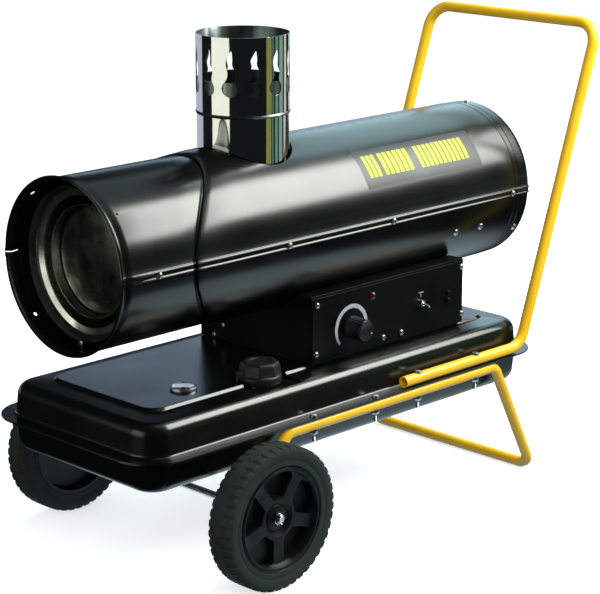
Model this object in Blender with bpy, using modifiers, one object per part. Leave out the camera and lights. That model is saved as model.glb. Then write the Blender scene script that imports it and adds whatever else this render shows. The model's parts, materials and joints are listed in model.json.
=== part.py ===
"""Indirect fired heater on a two-wheeled trolley.

A fuel tank of two pressed halves carries a control box, and the box carries the air tube.
The tube holds the combustion drum, the burner, the pump, the motor and the fan, and the flue
leaves the drum through the top of the tube.
The handle points along +X, the air outlet along -X, the control panel faces -Y, and Z is up.
The origin is on the floor, under the middle of the overall box.
"""

import math

import bmesh
import bpy
from mathutils import Matrix, Vector

# General clearances and sheet metal
GAP = 0.0003
OVERRUN = 0.004
SHEET = 0.001
SMOOTH_ANGLE = math.radians(38)

# Wheels and axle, with every X distance counted from the axle
WHEEL_RADIUS = 0.1145
TYRE_WIDTH = 0.0465
TYRE_STAND_OFF = 0.0216
TYRE_WALL = 0.0305
RIM_RADIUS = WHEEL_RADIUS - TYRE_WALL
TYRE_SHOULDER = 0.007
TREAD_DEPTH = 0.003
SIDEWALL_DISH = 0.0015
TREAD_STEPS = 28
RIM_STEPS = 20
AXLE_RADIUS = 0.006
AXLE_BORE = 0.0064
HUB_RADIUS = 0.021
HUB_RECESS = 0.0091
RIM_LIP = 0.006
RIM_WALL = 0.004
WEB_THICKNESS = 0.018
POCKET_DEPTH = 0.013
WEB_DISH = 0.009
SPOKE_COUNT = 5
SPOKE_WIDTH = 0.021
SPOKE_FIRST_ANGLE = math.radians(55)
OPENING_FILLET = 0.006
OPENING_CROWN_SHARES = (-0.12, 0.12)
NUT_RADIUS = 0.0095
NUT_HEIGHT = 0.006

# Fuel tank
TANK_FRONT = 0.2083
TANK_REAR = 0.7165
TANK_HALF_WIDTH = 0.199
TANK_CORNER = 0.070
TANK_INNER_CORNER = 0.028
TANK_FLANGE_TOP = 0.228
TANK_FLANGE_WIDTH = 0.0245
TANK_FLANGE_SHEET = 0.0015
TANK_SHEET = 0.0012
TANK_FILLET = 0.004
TANK_DRAFT = 0.0025
TANK_RIM_TOP = 0.2835
TANK_SHOULDER = 0.020
PLATEAU_INSET = 0.074
PLATEAU_RUN = 0.006
PLATEAU_TOP = 0.2865
TANK_BOTTOM = 0.168
TANK_BOTTOM_ROUND = 0.022
FILLER_X = 0.101
FILLER_Y = -0.114
SCALLOP_RADIUS = 0.047
SCALLOP_FLOOR = 0.277
NECK_RADIUS = 0.026
NECK_WALL = 0.0015
NECK_HEIGHT = 0.018
NECK_DEPTH = 0.016
NECK_FLANGE = 0.004
CAP_RADIUS = 0.0345
CAP_SKIRT_HEIGHT = 0.013
CAP_GRIP_HEIGHT = 0.021
CAP_TOP_RADIUS = 0.027
CAP_LOBES = 8
CAP_LOBE_DEPTH = 0.0028
CAP_CHAMFER = 0.003
CAP_LIFT_CLEARANCE = 0.0006
PLUG_RADIUS = 0.009
PLUG_HEIGHT = 0.006
PLUG_X = -0.090

# Fuel gauge
GAUGE_X = -0.0267
GAUGE_Y = -0.075
GAUGE_RADIUS = 0.0215
GAUGE_HEIGHT = 0.0045
GAUGE_WALL = 0.003
GAUGE_DIAL_DEPTH = 0.003
GAUGE_STEM_RADIUS = 0.011
GAUGE_STEM_LENGTH = 0.052
GAUGE_HOLE = 0.0125
GAUGE_SLOT = 0.005
LENS_SHEET = 0.0012
POINTER_LENGTH = 0.014
POINTER_WIDTH = 0.004
POINTER_SHEET = 0.0008
SPINDLE_RADIUS = 0.0012
SPINDLE_LENGTH = 0.004
PIVOT_RISE = 0.007
PIVOT_PIN_RADIUS = 0.0015
PIVOT_PIN_HALF = 0.007
PIVOT_BORE = 0.0019
FLOAT_ARM = 0.068
FLOAT_ARM_ANGLE = math.radians(-42)
FLOAT_WIRE = 0.0012
FLOAT_RADIUS = 0.013
FLOAT_LENGTH = 0.026

# Yellow tube frame
FRAME_RADIUS = 0.0095
FRAME_INSET = 0.009
FRAME_BORE = 0.0078
FRAME_BORE_DEPTH = 0.030
LEG_FRONT_BEND = 0.087
LEG_REAR_SET_BACK = 0.0693
LEG_FOOT_REACH = 0.0387
LEG_BEND_RADIUS = 0.024
FOOT_BEND_RADIUS = 0.026
LEG_END_PAST_AXLE = 0.014
HANDLE_BEND_INSET = 0.0585
HANDLE_FOOT_LENGTH = 0.3024
HANDLE_LEAN = 0.191
HANDLE_RISE = 0.5449
HANDLE_BEND_RADIUS = 0.038
HANDLE_TOP_RADIUS = 0.040
BEND_STEPS = 3
BOLT_RADIUS = 0.003
BOLT_HOLE = 0.0036
BOLT_HEAD_RADIUS = 0.0065
BOLT_HEAD_HEIGHT = 0.004
BOLT_NUT_HEIGHT = 0.005
BOLT_TAIL = 0.018
FIRST_BOLT_SET_BACK = 0.058
SECOND_BOLT_LEAD = 0.0676
THIRD_BOLT_SET_BACK = 0.0354
FOURTH_BOLT_LEAD = 0.120

# Air tube
TUBE_OVER_TANK = 0.074
MAIN_RADIUS = 0.1375
FRONT_STEP = 0.0025
FRONT_RADIUS = MAIN_RADIUS - FRONT_STEP
CROWN_RISE = 0.0025
TUBE_FRONT = 0.2007
TUBE_REAR = 0.7399
LIP_RISE = 0.004
LIP_RADIUS = FRONT_RADIUS + LIP_RISE
LIP_LENGTH = 0.004
LIP_GROOVE_DEPTH = 0.0025
LIP_GROOVE_RUN = 0.012
JOINT_MIDDLE = 0.0513
JOINT_SWING = 0.0517
JOINT_GROOVE = 0.006
JOINT_DEPTH = 0.0025
JOINT_TONGUE = 0.014
JOINT_ROLL = 0.004
JOINT_RISE = 0.060
REAR_ROLL = 0.006
REAR_ROLL_DEPTH = 0.003
REAR_BAND = 0.036
REAR_BAND_DEPTH = 0.001
SEAM_DROP = 0.0065
SEAM_CREASE = 0.0037
SEAM_JOGGLE = 0.0022
SHELL_ROWS = 12
PORT_RADIUS = 0.079

# Heat exchanger and flue
SHIELD_RADIUS = 0.1025
SHIELD_FRONT = 0.154
SHIELD_REAR = 0.400
SHIELD_MOUTH = 0.101
SHIELD_STEP_RADIUS = 0.114
SHIELD_STEP = 0.004
SHIELD_FLARE_RADIUS = 0.121
SHIELD_FLARE = 0.014
TAB_WIDTH = 0.012
TAB_LENGTH = 0.010
TAB_SHEET = 0.0016
DRUM_RADIUS = 0.088
DRUM_FRONT = 0.150
DRUM_REAR = 0.352
DRUM_SHEET = 0.0015
DRUM_RIM = 0.018
DRUM_DISH = 0.004
DRUM_SKIRT = 0.006
DRUM_FOOT_SIZE = 0.012
DRUM_FOOT_PLACES = (-0.060, 0.300)
FLUE_X = 0.1754
FLUE_RADIUS = 0.074
FLUE_SHEET = 0.001
FLUE_BEAD_RISE = 0.0545
FLUE_BEAD = 0.0022
FLUE_SPIGOT_LENGTH = 0.054
FLUE_ENTRY = 0.062
COWL_RADIUS = 0.075
COWL_SHEET = 0.0008
COWL_LENGTH = 0.125
FLAME_COUNT = 12
COWL_STEPS = 24
FLAME_RISE = 0.0315
FLAME_HEIGHT = 0.0735
FLAME_WIDTH = 0.0265

# Burner, pump, motor and fan
BURNER_RADIUS = 0.0425
BURNER_SHEET = 0.0015
BURNER_ENTRY = 0.022
BURNER_LENGTH = 0.078
BURNER_FLANGE = 0.058
BURNER_FLANGE_SHEET = 0.002
DISC_SLOTS = 6
DISC_BORE = 0.011
DISC_SET_BACK = 0.010
NOZZLE_RADIUS = 0.007
NOZZLE_TIP = 0.012
ELECTRODE_RADIUS = 0.0035
ELECTRODE_OFFSET = 0.020
ELECTRODE_CLAMP = 0.010
PHOTOCELL_RADIUS = 0.006
PHOTOCELL_OFFSET = 0.026
PUMP_FRONT = 0.440
PUMP_LENGTH = 0.038
PUMP_RADIUS = 0.030
PUMP_FOOT_WIDTH = 0.036
PORT_BOSS_RADIUS = 0.0055
PORT_BOSS_Y = 0.020
PORT_BOSS_DROP = 0.006
HOSE_RADIUS = 0.004
HOSE_HOLE = 0.0065
PICKUP_RADIUS = 0.005
PICKUP_RISE = 0.014
PICKUP_FLANGE = 0.013
PICKUP_FLANGE_SHEET = 0.003
PICKUP_FOOT_GAP = 0.012
STRAINER_RADIUS = 0.011
STRAINER_HEIGHT = 0.022
SHAFT_RADIUS = 0.005
SHAFT_BORE = 0.0055
COUPLING_RADIUS = 0.014
COUPLING_LENGTH = 0.020
COUPLING_SPACE = 0.004
MOTOR_FRONT = 0.508
MOTOR_LENGTH = 0.112
MOTOR_RADIUS = 0.048
MOTOR_BELL = 0.018
MOTOR_BELL_RADIUS = 0.036
MOTOR_BOSS = 0.014
MOTOR_BOSS_LENGTH = 0.008
BRACKET_FRONT = 0.432
BRACKET_REAR = 0.634
BRACKET_SHEET = 0.002
BRACKET_TAB = 0.010
FAN_FRONT = 0.645
FAN_HUB_LENGTH = 0.036
FAN_HUB_RADIUS = 0.024
FAN_RADIUS = 0.118
FAN_BLADES = 5
BLADE_SHEET = 0.0016
BLADE_PITCH = math.radians(32)
BLADE_TWIST = math.radians(10)
BLADE_CAMBER = 0.005
BLADE_ROOT_CHORD = 0.034
BLADE_TIP_CHORD = 0.070
GUARD_BAR = 0.0036
GUARD_SHEET = 0.0025
GUARD_FROM_REAR = 0.012
GUARD_HUB = 0.022
GUARD_BANDS = 3
GUARD_SPOKES = 6
GUARD_ARC_STEPS = 2

# Control box and its fittings
BOX_FRONT = 0.199
BOX_REAR = 0.5705
BOX_SIDE_INSET = 0.0067
BOX_WING = 0.0395
BOX_SHEET = 0.0012
BOX_FLANGE = 0.014
PANEL_FRONT = 0.2007
PANEL_REAR = 0.5686
PANEL_SILL = 0.0031
PANEL_HEAD = 0.0039
PANEL_SHEET = 0.0012
KNOB_X = 0.291
KNOB_RISE = 0.0475
KNOB_RADIUS = 0.019
KNOB_TAPER = 0.0015
KNOB_LENGTH = 0.033
KNOB_FLUTES = 15
KNOB_EDGE = 0.0015
KNOB_SPINDLE = 0.003
KNOB_STAND_OFF = 0.0012
THERMOSTAT_RADIUS = 0.016
THERMOSTAT_DEPTH = 0.024
THERMOSTAT_BORE = 0.0034
LAMP_X = 0.3405
LAMP_RISE = 0.0905
LAMP_RADIUS = 0.007
LAMP_DOME = 0.005
LAMP_STEM = 0.0055
LAMP_DEPTH = 0.020
SWITCH_X = 0.4611
SWITCH_RISE = 0.0553
SWITCH_BUSH = 0.006
SWITCH_BORE = 0.0043
SWITCH_BUSH_LENGTH = 0.006
SWITCH_BODY = 0.016
SWITCH_BODY_DEPTH = 0.020
LEVER_BALL = 0.0036
LEVER_ROOT = 0.0016
LEVER_TIP = 0.0026
LEVER_LENGTH = 0.017
LEVER_REST_ANGLE = math.radians(12)
BOARD_X = 0.360
BOARD_RISE = 0.0435
BOARD_LENGTH = 0.070
BOARD_HEIGHT = 0.050
BOARD_SHEET = 0.0016
BOARD_STAND_OFF = 0.014
BOARD_POST = 0.0035
BOARD_POST_INSET = 0.007
TRANSFORMER_X = 0.5145
TRANSFORMER_Y = 0.040
TRANSFORMER_LENGTH = 0.080
TRANSFORMER_WIDTH = 0.070
TRANSFORMER_HEIGHT = 0.052
TRANSFORMER_EDGE = 0.004
GLAND_Y = 0.070
GLAND_RISE = 0.0335
GLAND_RADIUS = 0.011
GLAND_STEM = 0.008
GLAND_LENGTH = 0.018
GLAND_BORE = 0.0045

# Sides of turned and drilled pieces
FINE_SIDES = 20
ROUND_SIDES = 16
SMALL_SIDES = 8
HOLE_SIDES = 6
HEX_SIDES = 6
CORNER_STEPS = 3

# Worked out from the sizes above
FRAME_HALF_WIDTH = TANK_HALF_WIDTH - FRAME_INSET
TYRE_OUTER_FACE = FRAME_HALF_WIDTH + FRAME_RADIUS + TYRE_STAND_OFF + TYRE_WIDTH
HUB_OUTER_FACE = TYRE_OUTER_FACE - HUB_RECESS
HANDLE_BEND = TANK_REAR - HANDLE_BEND_INSET
HANDLE_END = HANDLE_BEND - HANDLE_FOOT_LENGTH
HANDLE_TOP = HANDLE_BEND + HANDLE_LEAN
LEG_REAR_BEND = HANDLE_BEND - LEG_REAR_SET_BACK
LEG_FOOT = HANDLE_BEND + LEG_FOOT_REACH
SHORT_BOLT_PLACES = (LEG_FRONT_BEND + FIRST_BOLT_SET_BACK, HANDLE_END - SECOND_BOLT_LEAD)
LONG_BOLT_PLACES = (HANDLE_END + THIRD_BOLT_SET_BACK, HANDLE_BEND - FOURTH_BOLT_LEAD)
TUBE_HEIGHT = PLATEAU_TOP + TUBE_OVER_TANK + MAIN_RADIUS
FLUE_BEAD_HEIGHT = TUBE_HEIGHT + MAIN_RADIUS + FLUE_BEAD_RISE
FLUE_SPIGOT_TOP = FLUE_BEAD_HEIGHT + FLUE_SPIGOT_LENGTH
COWL_TOP = FLUE_BEAD_HEIGHT + COWL_LENGTH
FLAME_BASE = FLUE_BEAD_HEIGHT + FLAME_RISE
BOX_TOP = TUBE_HEIGHT - MAIN_RADIUS + BOX_WING
BOX_HALF_WIDTH = MAIN_RADIUS - BOX_SIDE_INSET
PANEL_BOTTOM = PLATEAU_TOP + PANEL_SILL
PANEL_TOP = BOX_TOP - PANEL_HEAD
KNOB_Z = PLATEAU_TOP + KNOB_RISE
LAMP_Z = PLATEAU_TOP + LAMP_RISE
SWITCH_Z = PLATEAU_TOP + SWITCH_RISE
BOARD_Z = PLATEAU_TOP + BOARD_RISE
GLAND_Z = PLATEAU_TOP + GLAND_RISE
REAR_REACH = HANDLE_TOP + FRAME_RADIUS
AXLE_X = (TANK_FRONT - REAR_REACH) / 2
TANK_LOWER_TOP = TANK_FLANGE_TOP - TANK_FLANGE_SHEET - GAP
TANK_FLANGE_BASE = TANK_LOWER_TOP - TANK_FLANGE_SHEET
LEG_HEIGHT = TANK_FLANGE_BASE - GAP - FRAME_RADIUS
HANDLE_HEIGHT = TANK_FLANGE_TOP + GAP + FRAME_RADIUS
HANDLE_TOP_HEIGHT = HANDLE_HEIGHT + HANDLE_RISE
PANEL_FACE = BOX_HALF_WIDTH + GAP + PANEL_SHEET
PANEL_BACK = BOX_HALF_WIDTH + GAP
BRACKET_TOP = TUBE_HEIGHT - MOTOR_RADIUS - GAP
SHELL_FLAT = math.cos(math.pi / SHELL_ROWS / 2)

MATERIALS = {
    "black_gloss": ((0.006, 0.007, 0.008), 0.22, 0.0),
    "black_satin": ((0.010, 0.011, 0.012), 0.40, 0.0),
    "yellow_powder": ((0.83, 0.50, 0.02), 0.35, 0.0),
    "stainless": ((0.62, 0.61, 0.58), 0.12, 1.0),
    "hot_stainless": ((0.36, 0.35, 0.31), 0.32, 1.0),
    "rubber": ((0.022, 0.025, 0.023), 0.80, 0.0),
    "rim_plastic": ((0.012, 0.013, 0.014), 0.45, 0.0),
    "cap_plastic": ((0.020, 0.024, 0.022), 0.55, 0.0),
    "zinc": ((0.55, 0.56, 0.57), 0.30, 1.0),
    "aluminium": ((0.60, 0.61, 0.62), 0.38, 1.0),
    "grey_paint": ((0.16, 0.17, 0.18), 0.45, 0.0),
    "brass": ((0.60, 0.42, 0.16), 0.30, 1.0),
    "clear": ((0.80, 0.84, 0.84), 0.05, 0.0),
    "red": ((0.45, 0.01, 0.02), 0.20, 0.0),
    "ceramic": ((0.80, 0.78, 0.72), 0.40, 0.0),
    "board_green": ((0.02, 0.12, 0.05), 0.50, 0.0),
    "foam": ((0.55, 0.45, 0.25), 0.80, 0.0),
}


def clear_scene():
    """Remove every object that the scene starts with."""
    for item in list(bpy.data.objects):
        bpy.data.objects.remove(item, do_unlink=True)


def make_collection(name):
    """Return a new collection linked to the scene."""
    collection = bpy.data.collections.new(name)
    bpy.context.scene.collection.children.link(collection)
    return collection


def make_material(name):
    """Return the named finish as a Principled material, made once."""
    if name in bpy.data.materials:
        return bpy.data.materials[name]
    colour, roughness, metallic = MATERIALS[name]
    material = bpy.data.materials.new(name)
    material.use_nodes = True
    shader = material.node_tree.nodes["Principled BSDF"]
    shader.inputs["Base Color"].default_value = (*colour, 1.0)
    shader.inputs["Roughness"].default_value = roughness
    shader.inputs["Metallic"].default_value = metallic
    return material


def bore(radius, sides, clearance=GAP):
    """Return the radius of a faceted hole whose flats clear a round piece."""
    return (radius + clearance) / math.cos(math.pi / sides)


def place(x, y, z):
    """Return the world point for an X counted from the axle."""
    return Vector((AXLE_X + x, y, z))


def add_object(name, data, finish):
    """Link an object for a piece, or for a cutter when it has no finish."""
    item = bpy.data.objects.new(name, data)
    if finish:
        data.materials.append(make_material(finish))
        bpy.data.collections["indirect_fired_heater"].objects.link(item)
    else:
        bpy.data.collections["cutters"].objects.link(item)
        item.hide_render = True
        item.display_type = "WIRE"
    return item


def add_mesh(name, work, finish, flat=False):
    """Make a mesh object from a bmesh, with outward faces and smooth round sides."""
    bmesh.ops.recalc_face_normals(work, faces=work.faces)
    mesh = bpy.data.meshes.new(name)
    work.to_mesh(mesh)
    work.free()
    if not flat:
        mesh.shade_smooth()
        mesh.set_sharp_from_angle(angle=SMOOTH_ANGLE)
    return add_object(name, mesh, finish)


def aim(item, origin, direction):
    """Put an object at a point with its local Z along a direction."""
    item.location = origin
    item.rotation_mode = "QUATERNION"
    item.rotation_quaternion = Vector(direction).to_track_quat("Z", "Y")
    return item


def cylinder(name, start, end, radius, finish=None, sides=ROUND_SIDES, end_radius=None):
    """Make a cylinder or cone between two points."""
    axis = Vector(end) - Vector(start)
    work = bmesh.new()
    bmesh.ops.create_cone(work, cap_ends=True, segments=sides, radius1=radius,
                          radius2=radius if end_radius is None else end_radius, depth=axis.length)
    bmesh.ops.translate(work, verts=work.verts, vec=Vector((0, 0, axis.length / 2)))
    return aim(add_mesh(name, work, finish), start, axis)


def block(name, low, high, finish=None):
    """Make a box between two corners."""
    low, high = Vector(low), Vector(high)
    work = bmesh.new()
    bmesh.ops.create_cube(work, size=1.0)
    bmesh.ops.scale(work, verts=work.verts, vec=high - low)
    item = add_mesh(name, work, finish, flat=True)
    item.location = (low + high) / 2
    return item


def turned(name, profile, origin, direction, finish=None, sides=ROUND_SIDES, closed=False):
    """Turn a profile of (radius, height) points about a line, with a Screw modifier.

    The points run down the outer side, so a profile listed the other way is reversed first.
    """
    count = len(profile)
    area = sum(profile[i][0] * profile[(i + 1) % count][1] - profile[(i + 1) % count][0] * profile[i][1]
               for i in range(count))
    points = list(profile) if area < 0 else list(reversed(profile))
    mesh = bpy.data.meshes.new(name)
    edges = [(i, i + 1) for i in range(count - 1)] + ([(count - 1, 0)] if closed else [])
    mesh.from_pydata([(radius, 0, height) for radius, height in points], edges, [])
    item = aim(add_object(name, mesh, finish), origin, direction)
    screw = item.modifiers.new("turn", "SCREW")
    screw.steps = sides
    screw.render_steps = sides
    screw.use_merge_vertices = True
    screw.merge_threshold = SHEET / 50
    return item


def tube(name, points, radius, finish, sides_level=2):
    """Run a round bar or pipe along a list of points."""
    curve = bpy.data.curves.new(name, "CURVE")
    curve.dimensions = "3D"
    curve.bevel_depth = radius
    curve.bevel_resolution = sides_level
    curve.use_fill_caps = True
    spline = curve.splines.new("POLY")
    spline.points.add(len(points) - 1)
    for target, point in zip(spline.points, points):
        target.co = (*point, 1.0)
    return add_object(name, curve, finish)


def plate(name, outlines, thickness, finish=None):
    """Make a flat plate from closed outlines in local X and Y, centred on local Z."""
    curve = bpy.data.curves.new(name, "CURVE")
    curve.dimensions = "2D"
    curve.fill_mode = "BOTH"
    curve.extrude = thickness / 2
    for outline in outlines:
        spline = curve.splines.new("POLY")
        spline.points.add(len(outline) - 1)
        for target, (across, up) in zip(spline.points, outline):
            target.co = (across, up, 0, 1)
        spline.use_cyclic_u = True
    return add_object(name, curve, finish)


def as_mesh(item):
    """Turn a curve object into a mesh object of the same name, with its caps welded."""
    bpy.context.view_layer.update()
    graph = bpy.context.evaluated_depsgraph_get()
    mesh = bpy.data.meshes.new_from_object(item.evaluated_get(graph))
    work = bmesh.new()
    work.from_mesh(mesh)
    bmesh.ops.remove_doubles(work, verts=work.verts, dist=SHEET / 50)
    bmesh.ops.recalc_face_normals(work, faces=work.faces)
    work.to_mesh(mesh)
    work.free()
    mesh.shade_smooth()
    mesh.set_sharp_from_angle(angle=SMOOTH_ANGLE)
    name, matrix, home = item.name, item.matrix_world.copy(), item.users_collection[0]
    bpy.data.objects.remove(item, do_unlink=True)
    result = bpy.data.objects.new(name, mesh)
    home.objects.link(result)
    result.matrix_world = matrix
    if home.name == "cutters":
        result.hide_render = True
        result.display_type = "WIRE"
    return result


def combine(item, other, operation="DIFFERENCE"):
    """Cut, join or intersect an object with a cutter, by an exact Boolean modifier."""
    modifier = item.modifiers.new(other.name, "BOOLEAN")
    modifier.operation = operation
    modifier.solver = "EXACT"
    modifier.object = other
    return item


def join(item, others):
    """Join solids that touch an object into it."""
    for other in others:
        combine(item, other, "UNION")
    return item


def mirror_y(point):
    """Return a point's mirror image across the middle plane."""
    return Vector((point[0], -point[1], point[2]))


def rounded_path(corners, radii, steps=BEND_STEPS):
    """Return the corner points of a path with each inner corner replaced by an arc."""
    points = [Vector(corners[0])]
    for before, corner, after, radius in zip(corners, corners[1:], corners[2:], radii):
        corner = Vector(corner)
        inward = (Vector(before) - corner).normalized()
        outward = (Vector(after) - corner).normalized()
        half = inward.angle(outward) / 2
        reach = radius / math.tan(half)
        middle = corner + (inward + outward).normalized() * (radius / math.sin(half))
        first = corner + inward * reach - middle
        last = corner + outward * reach - middle
        for step in range(steps + 1):
            points.append(middle + first.slerp(last, step / steps).normalized() * radius)
    points.append(Vector(corners[-1]))
    return points


def rounded_ring(half_x, half_y, radius, height):
    """Return one level of a rounded rectangle as points around its middle."""
    ring = []
    for quarter, (side_x, side_y) in enumerate(((1, 1), (-1, 1), (-1, -1), (1, -1))):
        for step in range(CORNER_STEPS + 1):
            angle = math.radians(90) * (quarter + step / CORNER_STEPS)
            ring.append(Vector((side_x * (half_x - radius) + radius * math.cos(angle),
                                side_y * (half_y - radius) + radius * math.sin(angle), height)))
    return ring


def loft(name, rings, origin, finish=None):
    """Skin a stack of rings that have the same number of points, with both ends closed."""
    work = bmesh.new()
    levels = [[work.verts.new(point) for point in ring] for ring in rings]
    for lower, upper in zip(levels, levels[1:]):
        for i in range(len(lower)):
            j = (i + 1) % len(lower)
            work.faces.new((lower[i], lower[j], upper[j], upper[i]))
    work.faces.new(reversed(levels[0]))
    work.faces.new(levels[-1])
    item = add_mesh(name, work, finish)
    item.location = origin
    return item


def tank_rings(levels):
    """Return rounded rectangles for a list of (inset from the flange edge, height)."""
    rings = []
    half_length = (TANK_FRONT + TANK_REAR) / 2
    for inset, height in levels:
        corner = max(TANK_CORNER - inset, TANK_INNER_CORNER)
        rings.append(rounded_ring(half_length - inset, TANK_HALF_WIDTH - inset, corner, height))
    return rings


def quarter_round(inset, top, radius, upward, steps):
    """Return the levels of a rounded edge that leaves a wall at an inset and ends level at a height."""
    levels = []
    for step in range(steps + 1):
        angle = math.pi / 2 * step / steps
        levels.append((inset + radius * (1 - math.cos(angle)), top + upward * radius * (math.sin(angle) - 1)))
    return levels


def scallop(name, radius, floor, top):
    """Make the cutter of the filler recess, a slot with a round end that runs out of the side."""
    reach = TANK_HALF_WIDTH + FILLER_Y + OVERRUN
    outline = [(-radius, -reach), (radius, -reach)]
    outline += [(radius * math.cos(math.radians(20 * step)), radius * math.sin(math.radians(20 * step)))
                for step in range(10)]
    item = plate(name, [outline], top - floor)
    item.location = place(FILLER_X, FILLER_Y, (floor + top) / 2)
    return as_mesh(item)


def bolt_places():
    """Return (x, side, is long) for the eight frame bolts."""
    spots = [(x, side, False) for x in SHORT_BOLT_PLACES for side in (-1, 1)]
    return spots + [(x, side, True) for x in LONG_BOLT_PLACES for side in (-1, 1)]


def drill_for_bolts(item, places):
    """Drill one piece for the frame bolts that pass through it."""
    for index, (x, side, _) in enumerate(places):
        y = side * FRAME_HALF_WIDTH
        low = LEG_HEIGHT - FRAME_RADIUS - OVERRUN
        high = HANDLE_HEIGHT + FRAME_RADIUS + OVERRUN
        combine(item, cylinder("%s_bolt_hole_%d" % (item.name, index), place(x, y, low), place(x, y, high),
                               BOLT_HOLE, sides=HOLE_SIDES))
    return item


def build_tank_upper():
    """Press the upper half of the tank, with its flange, raised top, recess and holes."""
    middle = place((TANK_REAR - TANK_FRONT) / 2, 0, 0)
    wall = TANK_FLANGE_WIDTH
    head = wall + TANK_DRAFT
    base = TANK_LOWER_TOP + GAP
    outer = [(0, base), (0, TANK_FLANGE_TOP), (wall - TANK_FILLET, TANK_FLANGE_TOP),
             (wall, TANK_FLANGE_TOP + TANK_FILLET)]
    outer += quarter_round(head, TANK_RIM_TOP, TANK_SHOULDER, 1, 3)
    outer += [(PLATEAU_INSET, TANK_RIM_TOP), (PLATEAU_INSET + PLATEAU_RUN, PLATEAU_TOP)]
    inner = [(wall + TANK_SHEET, base - OVERRUN)]
    inner += quarter_round(head + TANK_SHEET, TANK_RIM_TOP - TANK_SHEET, TANK_SHOULDER - TANK_SHEET, 1, 2)
    inner += [(PLATEAU_INSET + TANK_SHEET, TANK_RIM_TOP - TANK_SHEET),
              (PLATEAU_INSET + PLATEAU_RUN + TANK_SHEET, PLATEAU_TOP - TANK_SHEET)]
    tank = loft("tank_upper", tank_rings(outer), middle, "black_gloss")
    cavity = loft("tank_upper_cavity", tank_rings(inner), middle)
    top = PLATEAU_TOP + OVERRUN
    combine(tank, scallop("filler_recess", SCALLOP_RADIUS, SCALLOP_FLOOR, top))
    combine(cavity, scallop("filler_recess_inside", SCALLOP_RADIUS + TANK_SHEET, SCALLOP_FLOOR - TANK_SHEET, top))
    combine(tank, cavity)
    deep = SCALLOP_FLOOR - OVERRUN
    combine(tank, cylinder("neck_hole", place(FILLER_X, FILLER_Y, deep), place(FILLER_X, FILLER_Y, top),
                           bore(NECK_RADIUS, ROUND_SIDES), sides=ROUND_SIDES))
    combine(tank, cylinder("gauge_hole", place(GAUGE_X, GAUGE_Y, deep), place(GAUGE_X, GAUGE_Y, top),
                           GAUGE_HOLE, sides=SMALL_SIDES))
    pickup_x = PUMP_FRONT + PUMP_LENGTH / 2
    combine(tank, cylinder("pickup_hole", place(pickup_x, PORT_BOSS_Y, deep), place(pickup_x, PORT_BOSS_Y, top),
                           bore(PICKUP_RADIUS, SMALL_SIDES), sides=SMALL_SIDES))
    return drill_for_bolts(tank, bolt_places())


def build_tank_lower():
    """Press the lower half of the tank, with its flange and rounded bottom."""
    middle = place((TANK_REAR - TANK_FRONT) / 2, 0, 0)
    wall = TANK_FLANGE_WIDTH
    foot = wall + TANK_DRAFT

    outer = [(0, TANK_LOWER_TOP), (0, TANK_FLANGE_BASE), (wall - TANK_FILLET, TANK_FLANGE_BASE),
             (wall, TANK_FLANGE_BASE - TANK_FILLET)]
    outer += quarter_round(foot, TANK_BOTTOM, TANK_BOTTOM_ROUND, -1, 3)
    inner = [(wall + TANK_SHEET, TANK_LOWER_TOP + OVERRUN)]
    inner += quarter_round(foot + TANK_SHEET, TANK_BOTTOM + TANK_SHEET, TANK_BOTTOM_ROUND - TANK_SHEET, -1, 2)
    tank = loft("tank_lower", tank_rings(outer), middle, "black_gloss")
    combine(tank, loft("tank_lower_cavity", tank_rings(inner), middle))
    combine(tank, cylinder("plug_hole", place(PLUG_X, 0, TANK_BOTTOM - OVERRUN),
                           place(PLUG_X, 0, TANK_BOTTOM + OVERRUN), bore(PLUG_RADIUS / 2, SMALL_SIDES),
                           sides=SMALL_SIDES))
    return drill_for_bolts(tank, bolt_places())


def build_drain_plug():
    """Turn the drain plug, a hexagon head with a short stem in the tank's floor."""
    stem = PLUG_RADIUS / 2
    reach = TANK_SHEET + GAP + NECK_FLANGE
    profile = [(0, reach), (stem, reach), (stem, 0), (PLUG_RADIUS, 0), (PLUG_RADIUS, -PLUG_HEIGHT), (0, -PLUG_HEIGHT)]
    return turned("drain_plug", profile, place(PLUG_X, 0, TANK_BOTTOM - GAP), (0, 0, 1), "zinc", SMALL_SIDES)


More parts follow.
